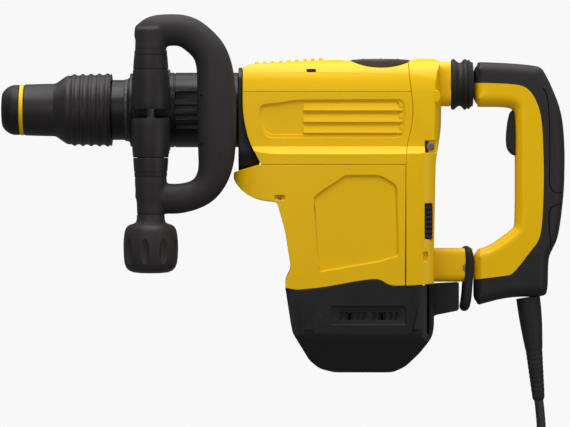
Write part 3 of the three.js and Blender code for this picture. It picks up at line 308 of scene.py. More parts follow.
spline.points.add(len(cord_lay) - 1)
for point, place in zip(spline.points, cord_lay):
    point.co = (*at(*place), 1)
spline.use_endpoint_u = True
spline.order_u = 3
supply_cord = bpy.data.objects.new("supply_cord", cord_curve)
bpy.context.collection.objects.link(supply_cord)
sheath = Finish("cord_sheath_rubber", Roughness=0.52)
sheath_cloud = sheath.noise(9)
sheath.surface(BaseColor=sheath.mix(sheath_cloud, shade(33, 31, 31), shade(44, 41, 41)))
sheath.bumps((sheath.noise(0.7, detail=2), 0.05))
cord_curve.materials.append(sheath.material)
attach(supply_cord, "rear_handle")
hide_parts("power_cord", "cord_coil", "cord_tail")


def only(piece):
    """Selects one piece and nothing else, for the operators that follow."""
    deselected()
    piece.select_set(True)
    bpy.context.view_layer.objects.active = piece


def settled(piece, angle=32):
    """Out of edit mode with doubled points merged, faces outwards and soft bends shaded smooth."""
    if piece.mode != "EDIT":
        only(piece)
        bpy.ops.object.mode_set(mode="EDIT")
    bpy.ops.mesh.select_all(action="SELECT")
    bpy.ops.mesh.remove_doubles(threshold=0.01 * MM)
    bpy.ops.mesh.normals_make_consistent(inside=False)
    bpy.ops.object.mode_set(mode="OBJECT")
    bpy.ops.object.shade_smooth_by_angle(angle=math.radians(angle))
    return piece


def spun(name, profile, axis, centre, steps=96):
    """A turned piece: a profile of (along, radius) drawn point by point and spun about the axis."""
    x, y, z = centre
    along_x = axis == "X"
    points = [(a, y, z + r) if along_x else (x + r, y, a) for a, r in profile]
    piece = traced(name, points)
    turn = {"center": at(*centre), "axis": (1, 0, 0) if along_x else (0, 0, 1)}
    bpy.ops.mesh.spin(steps=steps, angle=2 * math.pi, use_auto_merge=True, **turn)
    return settled(piece)


def modified(piece, kind, **settings):
    """Adds a modifier with its settings and applies it."""
    only(piece)
    modifier = piece.modifiers.new(kind.lower(), kind)
    for name, setting in settings.items():
        setattr(modifier, name, setting)
    bpy.ops.object.modifier_apply(modifier=modifier.name)
    return piece


def rounded(piece, width, segments=2, angle=32, clamp=True):
    """Breaks the sharp edges with a small round."""
    edges = {"limit_method": "ANGLE", "angle_limit": math.radians(angle), "use_clamp_overlap": clamp}
    modified(piece, "BEVEL", width=width * MM, segments=segments, miter_outer="MITER_ARC", **edges)
    bpy.ops.object.shade_smooth_by_angle(angle=math.radians(angle))
    return piece


def shaped(piece, operation, *tools):
    """Cuts each tool out of the piece, or joins it on, or keeps what both hold."""
    for tool in tools:
        modified(piece, "BOOLEAN", operation=operation, object=tool, solver="EXACT")
        bpy.data.objects.remove(tool)
    bpy.ops.object.shade_smooth_by_angle(angle=math.radians(32))
    return piece


def blocked(low, high):
    """A plain block between two corners, for cutting and joining."""
    deselected()
    middle = [(a + b) / 2 for a, b in zip(low, high)]
    bpy.ops.mesh.primitive_cube_add(size=MM, location=at(*middle))
    bpy.ops.transform.resize(value=[b - a for a, b in zip(low, high)])
    bpy.ops.object.transform_apply(location=True, rotation=True, scale=True)
    return bpy.context.object


def moulded(name, low, high, rough, grain=0.6, depth=0.03, scuff=0.12, worn=(150, 146, 142)):
    """A moulded finish: a faint cloud of two shades, a fine grain, and thin rubbed marks."""
    made = Finish(name, SpecularIORLevel=0.24)
    cloud = made.noise(42, detail=4)
    marks = made.noise(3.2, detail=7, roughness=0.72, stretch=(1, 1, 0.3)).above(0.67, 0.03)
    tone = made.mix(cloud, shade(*low), shade(*high))
    made.surface(BaseColor=made.mix(marks * scuff, tone, shade(*worn)))
    made.surface(Roughness=rough + cloud * 0.08 + marks * 0.12)
    made.bumps((made.noise(grain, detail=2), depth), (cloud, 0.25))
    return made.material


def fitted(piece, body, finish, slot, *nodes):
    """Gives a piece its finish, lets it ride on its body and stand for its solids."""
    piece.data.materials.clear()
    piece.data.materials.append(finish)
    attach(piece, body)
    if nodes:
        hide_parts(*nodes)
    return piece


# ------------------------------------------------------------------ nose and locking sleeve
# The tool's mouth has a rubber cap against dust, a yellow ring behind it, and a locking sleeve of black
# nylon that is pulled back to free the chisel. The sleeve is moulded with five finger ridges.
AXIS = 68
TIP = -536.6


def on_axis(profile):
    return [(TIP + a, r) for a, r in profile]


nose_rubber = moulded("nose_rubber", (24, 23, 24), (38, 36, 37), 0.42, grain=0.5)
cap_profile = [(0.5, 10.2), (0, 10.8), (0, 15.4), (0.5, 17), (1.8, 19), (4, 21.4), (6.6, 23.2), (9.4, 24.4),
    (12.2, 25)]
cap_profile += [(16.9, 25), (17.3, 24.6), (17.3, 20.6), (4.2, 20.6), (4.2, 10.2), (0.5, 10.2)]
nose_cap = spun("nose_dust_cap", on_axis(cap_profile), "X", (TIP, 0, AXIS))
fitted(nose_cap, "tool_holder", nose_rubber, "black_rubber", "nose_cap")

yellow_ring = moulded("nose_ring_yellow", (236, 186, 8), (246, 202, 20), 0.4, scuff=0.05, worn=(120, 96, 30))
ring_profile = [(17.9, 20.6), (17.9, 24.7), (18.4, 25.2), (21.5, 25.2), (22, 24.7), (22, 20.6), (17.9, 20.6)]
nose_band = spun("nose_colour_ring", on_axis(ring_profile), "X", (TIP, 0, AXIS))
fitted(nose_band, "tool_holder", yellow_ring, "yellow_plastic", "nose_ring")

RIDGE_FIRST = 72.2
RIDGE_PITCH = 8.3
RIDGE_HEIGHT = 1.25
sleeve_nylon = moulded("sleeve_nylon", (33, 30, 31), (50, 46, 47), 0.36, grain=0.8, depth=0.04)
sleeve_profile = [(22.6, 20.8), (22.6, 25), (23.3, 25.5), (38, 26), (51.5, 26.3), (53.4, 26.6), (55, 27.5),
    (58, 29.6)]
sleeve_profile += [(62, 32.4), (64.6, 33.9), (66.4, 34.5)]
for step in range(0, 84):
    along = 67.4 + step * 0.5
    wave = math.cos(2 * math.pi * (along - RIDGE_FIRST) / RIDGE_PITCH)
    crest = RIDGE_HEIGHT * max(wave, 0) ** 0.7 - 0.35 * max(-wave, 0) ** 2
    sleeve_profile.append((along, 34.6 + 0.9 * (along - 67.4) / 41.5 + crest))
sleeve_profile += [(109.2, 36.3), (109.5, 35.8), (109.5, 31.2), (109, 30.65), (68, 30.65), (60, 27.8),
    (52, 20.8), (22.6, 20.8)]
sleeve = spun("locking_sleeve_grip", on_axis(sleeve_profile), "X", (TIP, 0, AXIS), steps=112)
fitted(sleeve, "locking_sleeve", sleeve_nylon, "black_plastic", "locking_sleeve")

# ------------------------------------------------------------------ barrel
# A cast magnesium barrel, painted black: a bright turned neck that the sleeve slides on, a flare with a
# wire snap ring in its groove, and cooling ribs sunk into both sides.
RIB_SLOTS = ((76.2, 85.6), (66.4, 72.4), (57, 62.6), (47.6, 53.4))
RIB_FROM, RIB_TO = -363.2, -312
cast_black = Finish("barrel_cast_paint", SpecularIORLevel=0.3)
cast_cloud = cast_black.noise(30, detail=4)
cast_grit = cast_black.noise(1.3, detail=4, roughness=0.6)
cast_black.surface(BaseColor=cast_black.mix(cast_cloud, shade(15, 14, 15), shade(28, 26, 26)))
cast_black.surface(Roughness=0.24 + cast_grit * 0.2)
cast_black.bumps((cast_grit, 0.09), (cast_cloud, 0.3))
barrel_profile = [(110.1, 27.9), (110.1, 29.5), (110.6, 30), (121.6, 30), (123, 30.3), (123.3, 29.6),
    (125.8, 29.6), (126, 31.6)]
barrel_profile += [(128, 32.6), (128.2, 36.1), (128.6, 36.5), (130.6, 36.5), (131, 36.1), (131.2, 35.8),
    (131.6, 37.3)]
barrel_profile += [(171.6, 37.3), (172.2, 36.7), (173.2, 36.7), (173.8, 37.3), (235.7, 37.3), (236.2, 36.8),
    (236.2, 30.6)]
barrel_profile += [(164, 30.6), (164, 27.9), (110.1, 27.9)]
barrel = spun("barrel_casting", on_axis(barrel_profile), "X", (TIP, 0, AXIS))
for side in (-1, 1):
    for low, high in RIB_SLOTS:
        off = max(abs(low - AXIS), abs(high - AXIS))
        floor = math.sqrt(37.3**2 - off**2) - 1.8
        ends = sorted((side * floor, side * 45))
        slot_tool = blocked((RIB_FROM, ends[0], low), (RIB_TO, ends[1], high))
        shaped(barrel, "DIFFERENCE", rounded(slot_tool, 1.2, segments=3))
fitted(barrel, "housing", cast_black.material, "cast_metal", "barrel_housing")

# ------------------------------------------------------------------ side handle clamp
# A steel band round the barrel is drawn tight by two glass-filled nylon jaws, which are the halves of the
# upright column. Each jaw meets its detent collar in a ring of small teeth, round a long bolt.
COLUMN_X, COLUMN_Y = -386, -53.5
TEETH = 24
TOOTH = 1.7
SPIGOT_R = 13
BOLT_HOLE = 4.7
JAW_FACE_TOP, JAW_FACE_LOW = 64.7, 59.3
TOOTH_TOP, TOOTH_LOW = 104.2, 21.4
band_profile = [(-403, 38), (-403, 40.6), (-401.6, 40.6), (-401, 39.9), (-371, 39.9), (-370.4, 40.6),
    (-369, 40.6), (-369, 38)]
band = spun("clamp_band", band_profile + band_profile[:1], "X", (0, 0, AXIS))
shaped(band, "DIFFERENCE", blocked((-410, -45, JAW_FACE_LOW), (-360, 0, JAW_FACE_TOP)))
band_steel = Finish("clamp_band_steel", Metallic=1.0)
band_brush = band_steel.noise(0.6, detail=4, stretch=(0.08, 1, 1))
band_steel.surface(BaseColor=band_steel.mix(band_brush, shade(70, 68, 68), shade(118, 115, 112)))
band_steel.surface(Roughness=0.32 + band_brush * 0.2)
band_steel.bumps((band_brush, 0.03))
fitted(band, "handle_clamp", band_steel.material, "hardened_steel", "clamp_strap")


def toothed(piece, edge, way):
    """Moves every other pair of points on the rim at this height, so that the rim becomes a ring of teeth."""
    only(piece)
    for point in piece.data.vertices:
        x, y = point.co.x / MM - COLUMN_X, point.co.y / MM - COLUMN_Y
        tooth = math.floor((math.atan2(y, x) / math.pi + 1) * TEETH + 0.01) % 2
        point.select = tooth == 0 and abs(point.co.z / MM - edge) < 0.2 and math.hypot(x, y) > SPIGOT_R + 2
    bpy.ops.object.mode_set(mode="EDIT")
    bpy.context.tool_settings.mesh_select_mode = (True, False, False)
    bpy.ops.transform.translate(value=at(0, 0, way * TOOTH))
    bpy.ops.object.mode_set(mode="OBJECT")
    bpy.ops.object.shade_smooth_by_angle(angle=math.radians(32))
    return piece


def column_spun(name, profile):
    return spun(name, profile, "Z", (COLUMN_X, COLUMN_Y, 0))


column_nylon = moulded("column_nylon", (34, 31, 32), (48, 44, 45), 0.4, grain=0.7, depth=0.035)
for name, node, face, edge, way in (
    ("clamp_jaw_upper_half", "clamp_jaw_upper", JAW_FACE_TOP, TOOTH_TOP, 1),
    ("clamp_jaw_lower_half", "clamp_jaw_lower", JAW_FACE_LOW, TOOTH_LOW, -1),
):
    out = [(0, BOLT_HOLE), (0, 18.2), (0.25, 18.75), (0.8, 19), (8, 19), (18, 18.85), (26, 18.5), (33, 17.95)]
    jaw_profile = [(face + way * a, r) for a, r in out]
    jaw_profile += [(edge - way * 1.6, 17.6), (edge, 17.3), (edge, SPIGOT_R + 0.5),
        (edge - way * 3.4, SPIGOT_R + 0.5)]
    jaw_profile += [(edge - way * 3.4, BOLT_HOLE), (face, BOLT_HOLE)]
    jaw = toothed(column_spun(name, jaw_profile), edge, way)
    wrap = spun("wrap", [(-403, 39), (-403, 46.5), (-400, 48), (-372, 48), (-369, 46.5), (-369, 39),
        (-403, 39)], "X", (0, 0, AXIS))
    lows, highs = sorted((face, edge - way * 2)), (-366, -16.5)
    shaped(wrap, "INTERSECT", blocked((-406, -70, lows[0]), (highs[0], highs[1], lows[1])))
    shaped(jaw, "UNION", wrap)
    bore = spun("bore", [(-420, 0), (-420, 40.9), (-350, 40.9), (-350, 0)], "X", (0, 0, AXIS))
    shaped(jaw, "DIFFERENCE", bore)
    fitted(jaw, "handle_clamp", column_nylon, "black_plastic", node)

for name, node, edge, way in (
    ("detent_collar_upper_ring", "detent_collar_upper", TOOTH_TOP + 0.6, 1),
    ("detent_collar_lower_ring", "detent_collar_lower", TOOTH_LOW - 0.6, -1),
):
    out = [(-3, BOLT_HOLE), (-3, SPIGOT_R), (0, SPIGOT_R), (0, 17.2), (1.6, 17.3), (8, 16.8), (13.4, 16.4),
        (13.7, 15.7), (14.2, 15.7), (14.4, 16.3)]
    out += [(18.4, 15.9), (18.8, 15.3), (18.8, BOLT_HOLE), (-3, BOLT_HOLE)]
    collar = column_spun(name, [(edge + way * a, r) for a, r in out])
    fitted(toothed(collar, edge, way), "loop", column_nylon, "black_plastic", node)

# ------------------------------------------------------------------ loop grip
# The side handle's loop: a steel core moulded over with soft rubber, oval in section, thickest where the
# hand holds it, with a blunt horn at both ends and two small vent holes left by the mould.
LOOP_FLAT = 0.76
LOOP_LINE = [
    (-402, 143, 5.5), (-397.5, 142.6, 10), (-391, 142.8, 13.8), (-382, 143.6, 16.2), (-371, 144.8,
        16), (-360, 145.3, 15.6),
    (-350, 143.2, 16), (-342, 137.8, 16.3), (-333.5, 130.3, 16.1), (-326.8, 121.6, 16.8), (-322.6, 106.3, 18),
    (-321.4, 88, 19.1), (-320.8, 60, 19.7), (-321, 33, 19), (-321.3, 16.4, 17.9), (-323.8, 2.5, 16),
    (-331, -10.6, 14.6), (-341.5, -17.4, 14.2), (-356, -21, 14.8), (-368, -21.2, 15.2), (-380, -19.6, 14.6),
    (-391, -16.6, 11.5), (-397.5, -15, 8.6), (-401, -14.6, 5),
]


def hosed(name, points, closed=False):
    """A smooth tube through points of (x, y, z, radius), drawn as a curve and made a mesh."""
    line = bpy.data.curves.new(name, "CURVE")
    line.dimensions = "3D"
    line.bevel_depth = MM
    line.bevel_resolution = 10
    line.resolution_u = 5
    line.use_fill_caps = not closed
    spline = line.splines.new("NURBS")
    spline.points.add(len(points) - 1)
    for point, (x, y, z, radius) in zip(spline.points, points):
        point.co = (*at(x, y, z), 1)
        point.radius = radius
    spline.use_endpoint_u = not closed
    spline.use_cyclic_u = closed
    spline.order_u = 4
    tube = bpy.data.objects.new(name, line)
    bpy.context.collection.objects.link(tube)
    deselected()
    tube.select_set(True)
    bpy.context.view_layer.objects.active = tube
    bpy.ops.object.convert(target="MESH")
    return settled(bpy.context.object)


def softened(piece, voxel, passes):
    """Grows a skin over the piece and smooths it, as a rubber moulding rounds what is under it."""
    modified(piece, "REMESH", mode="VOXEL", voxel_size=voxel * MM, adaptivity=0)
    modified(piece, "SMOOTH", factor=0.5, iterations=passes)
    bpy.ops.object.shade_smooth()
    return piece


loop = hosed("loop_grip_rubber", [(x, 0, z, radius) for x, z, radius in LOOP_LINE])
bpy.ops.transform.resize(value=(1, LOOP_FLAT, 1), center_override=(0, 0, 0))
bpy.ops.transform.translate(value=at(0, COLUMN_Y, 0))
bpy.ops.object.transform_apply(location=True, rotation=True, scale=True)
upper_neck = column_spun("upper_neck", [(124.1, 0), (124.1, 15.2), (124.6, 15.6), (133, 15.3), (146, 15.5),
    (148, 0)])
lower_out = [(1.3, 0), (1.3, 15.4), (0.8, 15.8), (-7, 15.6), (-18, 14.8), (-26, 13.8), (-37.2, 13.6),
    (-37.2, 0)]
lower_neck = column_spun("lower_neck", lower_out)
shaped(loop, "UNION", upper_neck, lower_neck)
softened(loop, 1.15, 14)
grip_rubber = moulded("grip_rubber", (40, 37, 38), (52, 48, 49), 0.52, grain=0.45, depth=0.03, scuff=0.08)
for x, z in ((-335.7, 80.4), (-335.4, 32.3)):
    deselected()
    bpy.ops.mesh.primitive_cylinder_add(vertices=24, radius=1.25 * MM, depth=9 * MM,
        location=at(x, -64.6, z), rotation=(math.pi / 2, 0, 0))
    bpy.ops.object.transform_apply(location=True, rotation=True, scale=True)
    shaped(loop, "DIFFERENCE", bpy.context.object)
bpy.ops.object.shade_smooth_by_angle(angle=math.radians(50))
fitted(loop, "loop", grip_rubber, "black_rubber", "loop_grip")

# ------------------------------------------------------------------ clamp knob and bolt
# A barrel-shaped nylon knob with nine lens-shaped flutes for the fingers; turning it draws the plated,
# threaded bolt down through the column and closes the jaws.
FLUTES = 9
knob_profile = [(-36.8, BOLT_HOLE), (-36.8, 13.3), (-37.1, 13.7), (-41, 13.8), (-44, 14.6), (-45.4, 17),
    (-46.4, 20.5), (-48, 23)]
knob_profile += [(-50.6, 24.8), (-55, 26), (-62, 26.8), (-70, 27), (-78, 26.7), (-84, 25.9), (-88.6, 24.2),
    (-91.6, 21.4)]
knob_profile += [(-93.4, 17), (-94.2, 10), (-94.4, 0.01), (-60, 0.01), (-60, BOLT_HOLE), (-36.8, BOLT_HOLE)]
knob = column_spun("clamp_knob_grip", knob_profile)
for count in range(FLUTES):
    angle = (count + 0.5) * 2 * math.pi / FLUTES
    centre = at(COLUMN_X + 29.8 * math.cos(angle), COLUMN_Y + 29.8 * math.sin(angle), -74)
    deselected()
    bpy.ops.mesh.primitive_uv_sphere_add(segments=24, ring_count=16, radius=5.6 * MM, location=centre)
    bpy.ops.transform.resize(value=(1, 1, 3.1), center_override=centre)
    bpy.ops.object.transform_apply(location=True, rotation=True, scale=True)
    shaped(knob, "DIFFERENCE", bpy.context.object)
knob_nylon = moulded("knob_nylon", (42, 39, 40), (56, 52, 53), 0.44, grain=0.5, depth=0.05)
fitted(rounded(knob, 0.5, angle=26), "clamp_knob", knob_nylon, "black_plastic", "clamp_knob")

THREAD_PITCH = 1.5
bolt_profile = [(-59.5, 0), (-59.5, 4.3)]
for step in range(0, 20):
    bolt_profile += [(52 + step * THREAD_PITCH / 2, 4.35 - 0.45 * (step % 2))]
bolt_profile += [(70, 4.3), (130.4, 4.3), (131.2, 3.6), (131.2, 0)]
bolt = column_spun("clamp_bolt_thread", bolt_profile)
plated = Finish("plated_steel", Metallic=1.0)
plated_fleck = plated.noise(2.4, detail=4)
plated.surface(BaseColor=plated.mix(plated_fleck, shade(214, 214, 216), shade(240, 239, 237)))
plated.surface(Roughness=0.3 + plated_fleck * 0.14)
plated.bumps((plated.noise(0.5), 0.01))
fitted(bolt, "clamp_knob", plated.material, "bright_steel", "clamp_bolt")

snap_steel = moulded("snap_ring_spring_steel", (58, 56, 56), (82, 79, 77), 0.35, grain=0.4,
    worn=(170, 168, 164))
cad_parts["snap_ring"].data.materials[0] = snap_steel

# ------------------------------------------------------------------ yellow covers
# Glass-filled nylon mouldings in safety yellow, satin with a very fine grain: a top cover with finger ridges,
# two side covers with sunk panels of cooling louvres, the motor housing below and the rear housing behind.
COVER_HALF = 48
MOTOR_HALF = 56
LOUVRES = (65.2, 54, 43.2)
LOUVRE_HEIGHT = 8.6
LOUVRE_DEPTH = 2.3
LOUVRE_FROM, LOUVRE_TO = -236, -138

yellow = Finish("housing_yellow", SpecularIORLevel=0.22)
yellow_cloud = yellow.noise(70, detail=3)
yellow_fine = yellow.noise(0.45, detail=2)
yellow_marks = yellow.noise(4.5, detail=8, roughness=0.7, stretch=(0.35, 1, 1)).above(0.69, 0.02)
yellow_tone = yellow.mix(yellow_cloud, shade(240, 189, 0), shade(247, 199, 1))
yellow.surface(BaseColor=yellow.mix(yellow_marks * 0.22, yellow_tone, shade(196, 150, 30)))
yellow.surface(Roughness=0.32 + yellow_cloud * 0.06 + yellow_marks * 0.15)
yellow.bumps((yellow_fine, 0.022), (yellow_cloud, 0.4))


def copied(node, name):
    """A copy of a frame solid, its triangles merged into clean faces, ready to be rounded and cut."""
    deselected()
    piece = bpy.data.objects.new(name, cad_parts[node].data.copy())
    bpy.context.collection.objects.link(piece)
    piece.select_set(True)
    bpy.context.view_layer.objects.active = piece
    bpy.ops.mesh.customdata_custom_splitnormals_clear()
    bpy.ops.object.mode_set(mode="EDIT")
    bpy.ops.mesh.select_all(action="SELECT")
    bpy.ops.mesh.remove_doubles(threshold=0.002 * MM)
    bpy.ops.mesh.dissolve_limited(angle_limit=math.radians(1.5))
    bpy.ops.object.mode_set(mode="OBJECT")
    return piece


def slab(name, outline, low, high):
    """An outline of (x, z) points filled and pulled through from one y to another."""
    piece = traced(name, [(x, low, z) for x, z in outline], closed=True)
    bpy.ops.mesh.extrude_region_move(TRANSFORM_OT_translate={"value": at(0, high - low, 0)})
    return settled(piece)


def rail(name, section, low, high):
    """An outline of (y, z) points filled and pulled along x from low to high."""
    piece = traced(name, [(low, y, z) for y, z in section], closed=True)
    bpy.ops.mesh.extrude_region_move(TRANSFORM_OT_translate={"value": at(high - low, 0, 0)})
    return settled(piece)


def together(name, pieces):
    """Several meshes made one piece."""
    deselected()
    for piece in pieces:
        piece.select_set(True)
    bpy.context.view_layer.objects.active = pieces[0]
    bpy.ops.object.join()
    pieces[0].name = name
    return pieces[0]


def pocket(x_low, x_high, z_low, z_high, side, floor, edge=0.8):
    """A rounded cutting block that sinks from outside the tool to a floor at the given half width."""
    ends = sorted((side * floor, side * 66))
    return rounded(blocked((x_low, ends[0], z_low), (x_high, ends[1], z_high)), edge, segments=3)


def dished(border, side, face, depth, shrink, middle):
    """A cutter for a sunk panel: its border on the face and a smaller floor below, so its edges slope."""
    dish = slab("dish", border, side * (face + 0.4), side * (face - depth))
    only(dish)
    for part in dish.data.polygons:
        part.select = part.normal.y * side < -0.9
    bpy.ops.object.mode_set(mode="EDIT")
    bpy.context.tool_settings.mesh_select_mode = (False, False, True)
    bpy.ops.transform.resize(value=(shrink[0], 1, shrink[1]),
        center_override=at(middle[0], side * face, middle[1]))
    return settled(dish)


SIDE_DISH = [(-280, 71), (-276, 73.6), (-244, 76.5), (-143, 77), (-140, 74), (-139.6, 44.6), (-143, 41),
    (-268, 41), (-275, 44), (-281, 60)]
MOTOR_DISH = [(-196, 4.5), (-158.5, 4.5), (-141, -6.5), (-138.6, -79), (-159.5, -85), (-223, -95.5),
    (-230, -18)]


def eased(points, rounds=2, closed=False):
    """Cuts the corners of a line again and again, which turns it into a smooth curve."""
    for _ in range(rounds):
        pairs = list(zip(points, points[1:] + points[:1] if closed else points[1:]))
        cut = []
        for (x0, z0), (x1, z1) in pairs:
            cut += [(0.75 * x0 + 0.25 * x1, 0.75 * z0 + 0.25 * z1),
                (0.25 * x0 + 0.75 * x1, 0.25 * z0 + 0.75 * z1)]
        points = cut if closed else [points[0], *cut, points[-1]]
    return points


top = copied("top_cover", "top_cover_shell")
for side in (-1, 1):
    shaped(top, "DIFFERENCE", pocket(-233, -223.2, 103.6, 107.4, side, 41, edge=1.7))
    scallop = [(-195, 121), (-189, 115.6), (-180, 111.4), (-170, 109), (-159, 108.2), (-148, 109),
        (-138, 111.4), (-129, 115.6), (-123, 121)]
    shaped(top, "DIFFERENCE", slab("scallop", eased(scallop, 1), *sorted((side * 12, side * 60))))
rounded(top, 0.35, clamp=False)
fitted(top, "housing", yellow.material, "yellow_plastic", "top_cover")

for name, node, side in (("side_cover_near", "side_cover_left", -1),
    ("side_cover_far", "side_cover_right", 1)):
    cover = copied(node, name)
    shaped(cover, "DIFFERENCE", dished(SIDE_DISH, side, COVER_HALF, 2, (0.975, 0.92), (-206, 57)))
    rounded(cover, 0.3, clamp=False)
    fitted(cover, "housing", yellow.material, "yellow_plastic", node)
    louvres = []
    for low in LOUVRES:
        foot, lip = side * (COVER_HALF - 2.6), side * (COVER_HALF - 2 + LOUVRE_DEPTH)
        section = [(foot, low), (lip - side * 0.5, low), (lip, low + 0.9),
            (side * (COVER_HALF - 2), low + LOUVRE_HEIGHT)]
        section += [(foot, low + LOUVRE_HEIGHT)]
        louvre = rail("louvre", section, LOUVRE_FROM, LOUVRE_TO)
        bpy.ops.object.mode_set(mode="EDIT")
        bpy.ops.mesh.select_all(action="SELECT")
        bpy.ops.mesh.bisect(plane_co=at(LOUVRE_FROM, lip, 0), plane_no=(1, side * -7, 0), use_fill=True,
            clear_inner=True)
        settled(louvre)
        louvres.append(rounded(louvre, 0.5, segments=3))
    fitted(together(name + "_louvres", louvres), "housing", yellow.material, "yellow_plastic")

rear = copied("rear_housing", "rear_housing_shell")
for side in (-1, 1):
    shaped(rear, "DIFFERENCE", pocket(-116.7, -108.8, -60.9, -25.4, side, 50.5, edge=1.5))
    shaped(rear, "DIFFERENCE", pocket(-116.2, -98, 24.2, 36.4, side, 46, edge=0.6))
    shaped(rear, "DIFFERENCE", pocket(-118.2, -113.6, -83, -73.4, side, 52, edge=0.6))
rounded(rear, 0.6, clamp=False)
fitted(rear, "housing", yellow.material, "yellow_plastic", "rear_housing")

motor = copied("motor_housing", "motor_housing_shell")
for side in (-1, 1):
    shaped(motor, "DIFFERENCE", pocket(-264.2, -254, -22, -17.6, side, 53.6, edge=0.5))
    shaped(motor, "DIFFERENCE", dished(MOTOR_DISH, side, MOTOR_HALF, 1.9, (0.9, 0.945), (-184.3, -45)))
rounded(motor, 0.6, clamp=False)
fitted(motor, "housing", yellow.material, "yellow_plastic", "motor_housing")

# ------------------------------------------------------------------ vents, screws and small mouldings
# Black grilles and zinc-plated hexalobular screws sit in the yellow shells' pockets; a small half-round lug
# is moulded on each side of the rear housing, and the motor housing's front edge is finely ridged.
part_black = moulded("part_black", (34, 32, 33), (46, 43, 44), 0.46, grain=0.6, depth=0.04)
screw_zinc = Finish("screw_zinc", Metallic=1.0)
screw_grain = screw_zinc.noise(1.1, detail=4)
screw_zinc.surface(BaseColor=screw_zinc.mix(screw_grain, shade(96, 92, 88), shade(158, 152, 144)))
screw_zinc.surface(Roughness=0.3 + screw_grain * 0.2)
screw_zinc.bumps((screw_grain, 0.02))
HEAD_HALF = 1.6


def screwed(name, x, z, side, face, radius):
    """A pan-head screw that faces outwards, with a six-lobed recess."""
    deselected()
    turn = (math.pi / 2, 0, 0)
    place = at(x, side * face, z)
    bpy.ops.mesh.primitive_cylinder_add(vertices=40, radius=radius * MM, depth=2 * HEAD_HALF * MM,
        location=place, rotation=turn)
    bpy.ops.object.transform_apply(location=True, rotation=True, scale=True)
    head = bpy.context.object
    head.name = name
    rounded(head, 0.6, segments=3, angle=40)
    for lobe in range(3):
        deselected()
        spin = (math.pi / 2, lobe * math.pi / 3, 0)
        bpy.ops.mesh.primitive_cube_add(size=MM, location=at(x, side * (face + HEAD_HALF), z), rotation=spin)
        bpy.ops.object.transform_apply(location=False, rotation=True, scale=True)
        key = bpy.context.object
        bpy.context.view_layer.objects.active = key
        bpy.ops.object.transform_apply(location=True, rotation=False, scale=False)
        bpy.ops.object.mode_set(mode="EDIT")
        bpy.ops.mesh.select_all(action="SELECT")
        bpy.ops.transform.resize(value=(radius * 0.5, 2.6, radius * 0.5),
            center_override=at(x, side * (face + HEAD_HALF), z))
        bpy.ops.object.mode_set(mode="OBJECT")
        shaped(head, "DIFFERENCE", key)
    return head


VENT_FROM, VENT_TO = -60.9, -25.4
VENT_BARS = 7
VENT_BAR = 2.7
for side, far in ((-1, "near"), (1, "far")):
    bars = []
    for count in range(VENT_BARS):
        low = VENT_FROM + 1.2 + count * (VENT_TO - VENT_FROM - 2.4) / VENT_BARS
        ends = sorted((side * 50.2, side * 54.6))
        bars.append(rounded(blocked((-116.6, ends[0], low), (-108.9, ends[1], low + VENT_BAR)), 0.5))
    ends = sorted((side * 50.4, side * 51.4))
    bars.append(blocked((-116.6, ends[0], VENT_FROM + 0.2), (-108.9, ends[1], VENT_TO - 0.2)))
    fitted(together("rear_vent_grille_" + far, bars), "housing", part_black, "black_plastic")
    heads = [screwed("rear_screw", -110.6, 30.3, side, 46.6, 4),
        screwed("front_screw", -259, -19.8, side, 54, 1.9)]
    fitted(together("cover_screws_" + far, heads), "housing", screw_zinc.material, "bright_steel")
    # Black blocks on the pocket floors are painted shade: a dark sheet that stands in for the shadow deep in
    # each pocket.
    shade_blocks = [blocked((-232.4, min(side * 41.2, side * 42), 104.2),
        (-223.8, max(side * 41.2, side * 42), 107))]
    shade_blocks.append(blocked((-116, min(side * 46.2, side * 47.6), 24.5),
        (-112.8, max(side * 46.2, side * 47.6), 36.1)))
    fitted(together("pocket_shade_blocks_" + far, shade_blocks), "housing", part_black, "black_plastic")
    lug = slab("half_round_lug_" + far, [(-107, 73.6), (-103.6, 73.8), (-101.6, 76), (-100.8, 79.8),
        (-101.6, 83.6),
                                         (-103.6, 85.8), (-107, 86)], *sorted((side * 46.5, side * 49.2)))
    fitted(rounded(lug, 0.8, segments=3), "housing", yellow.material, "yellow_plastic")

# ------------------------------------------------------------------ gear housing front
# The cast housing of the gears closes the body at the front, round the cylinder, in the same black paint as
# the barrel; the rest of it is inside the yellow covers.
gearbox = rounded(copied("gearbox_housing", "gear_housing_front"), 0.4, clamp=False)
fitted(gearbox, "housing", cast_black.material, "cast_metal", "gearbox_housing")

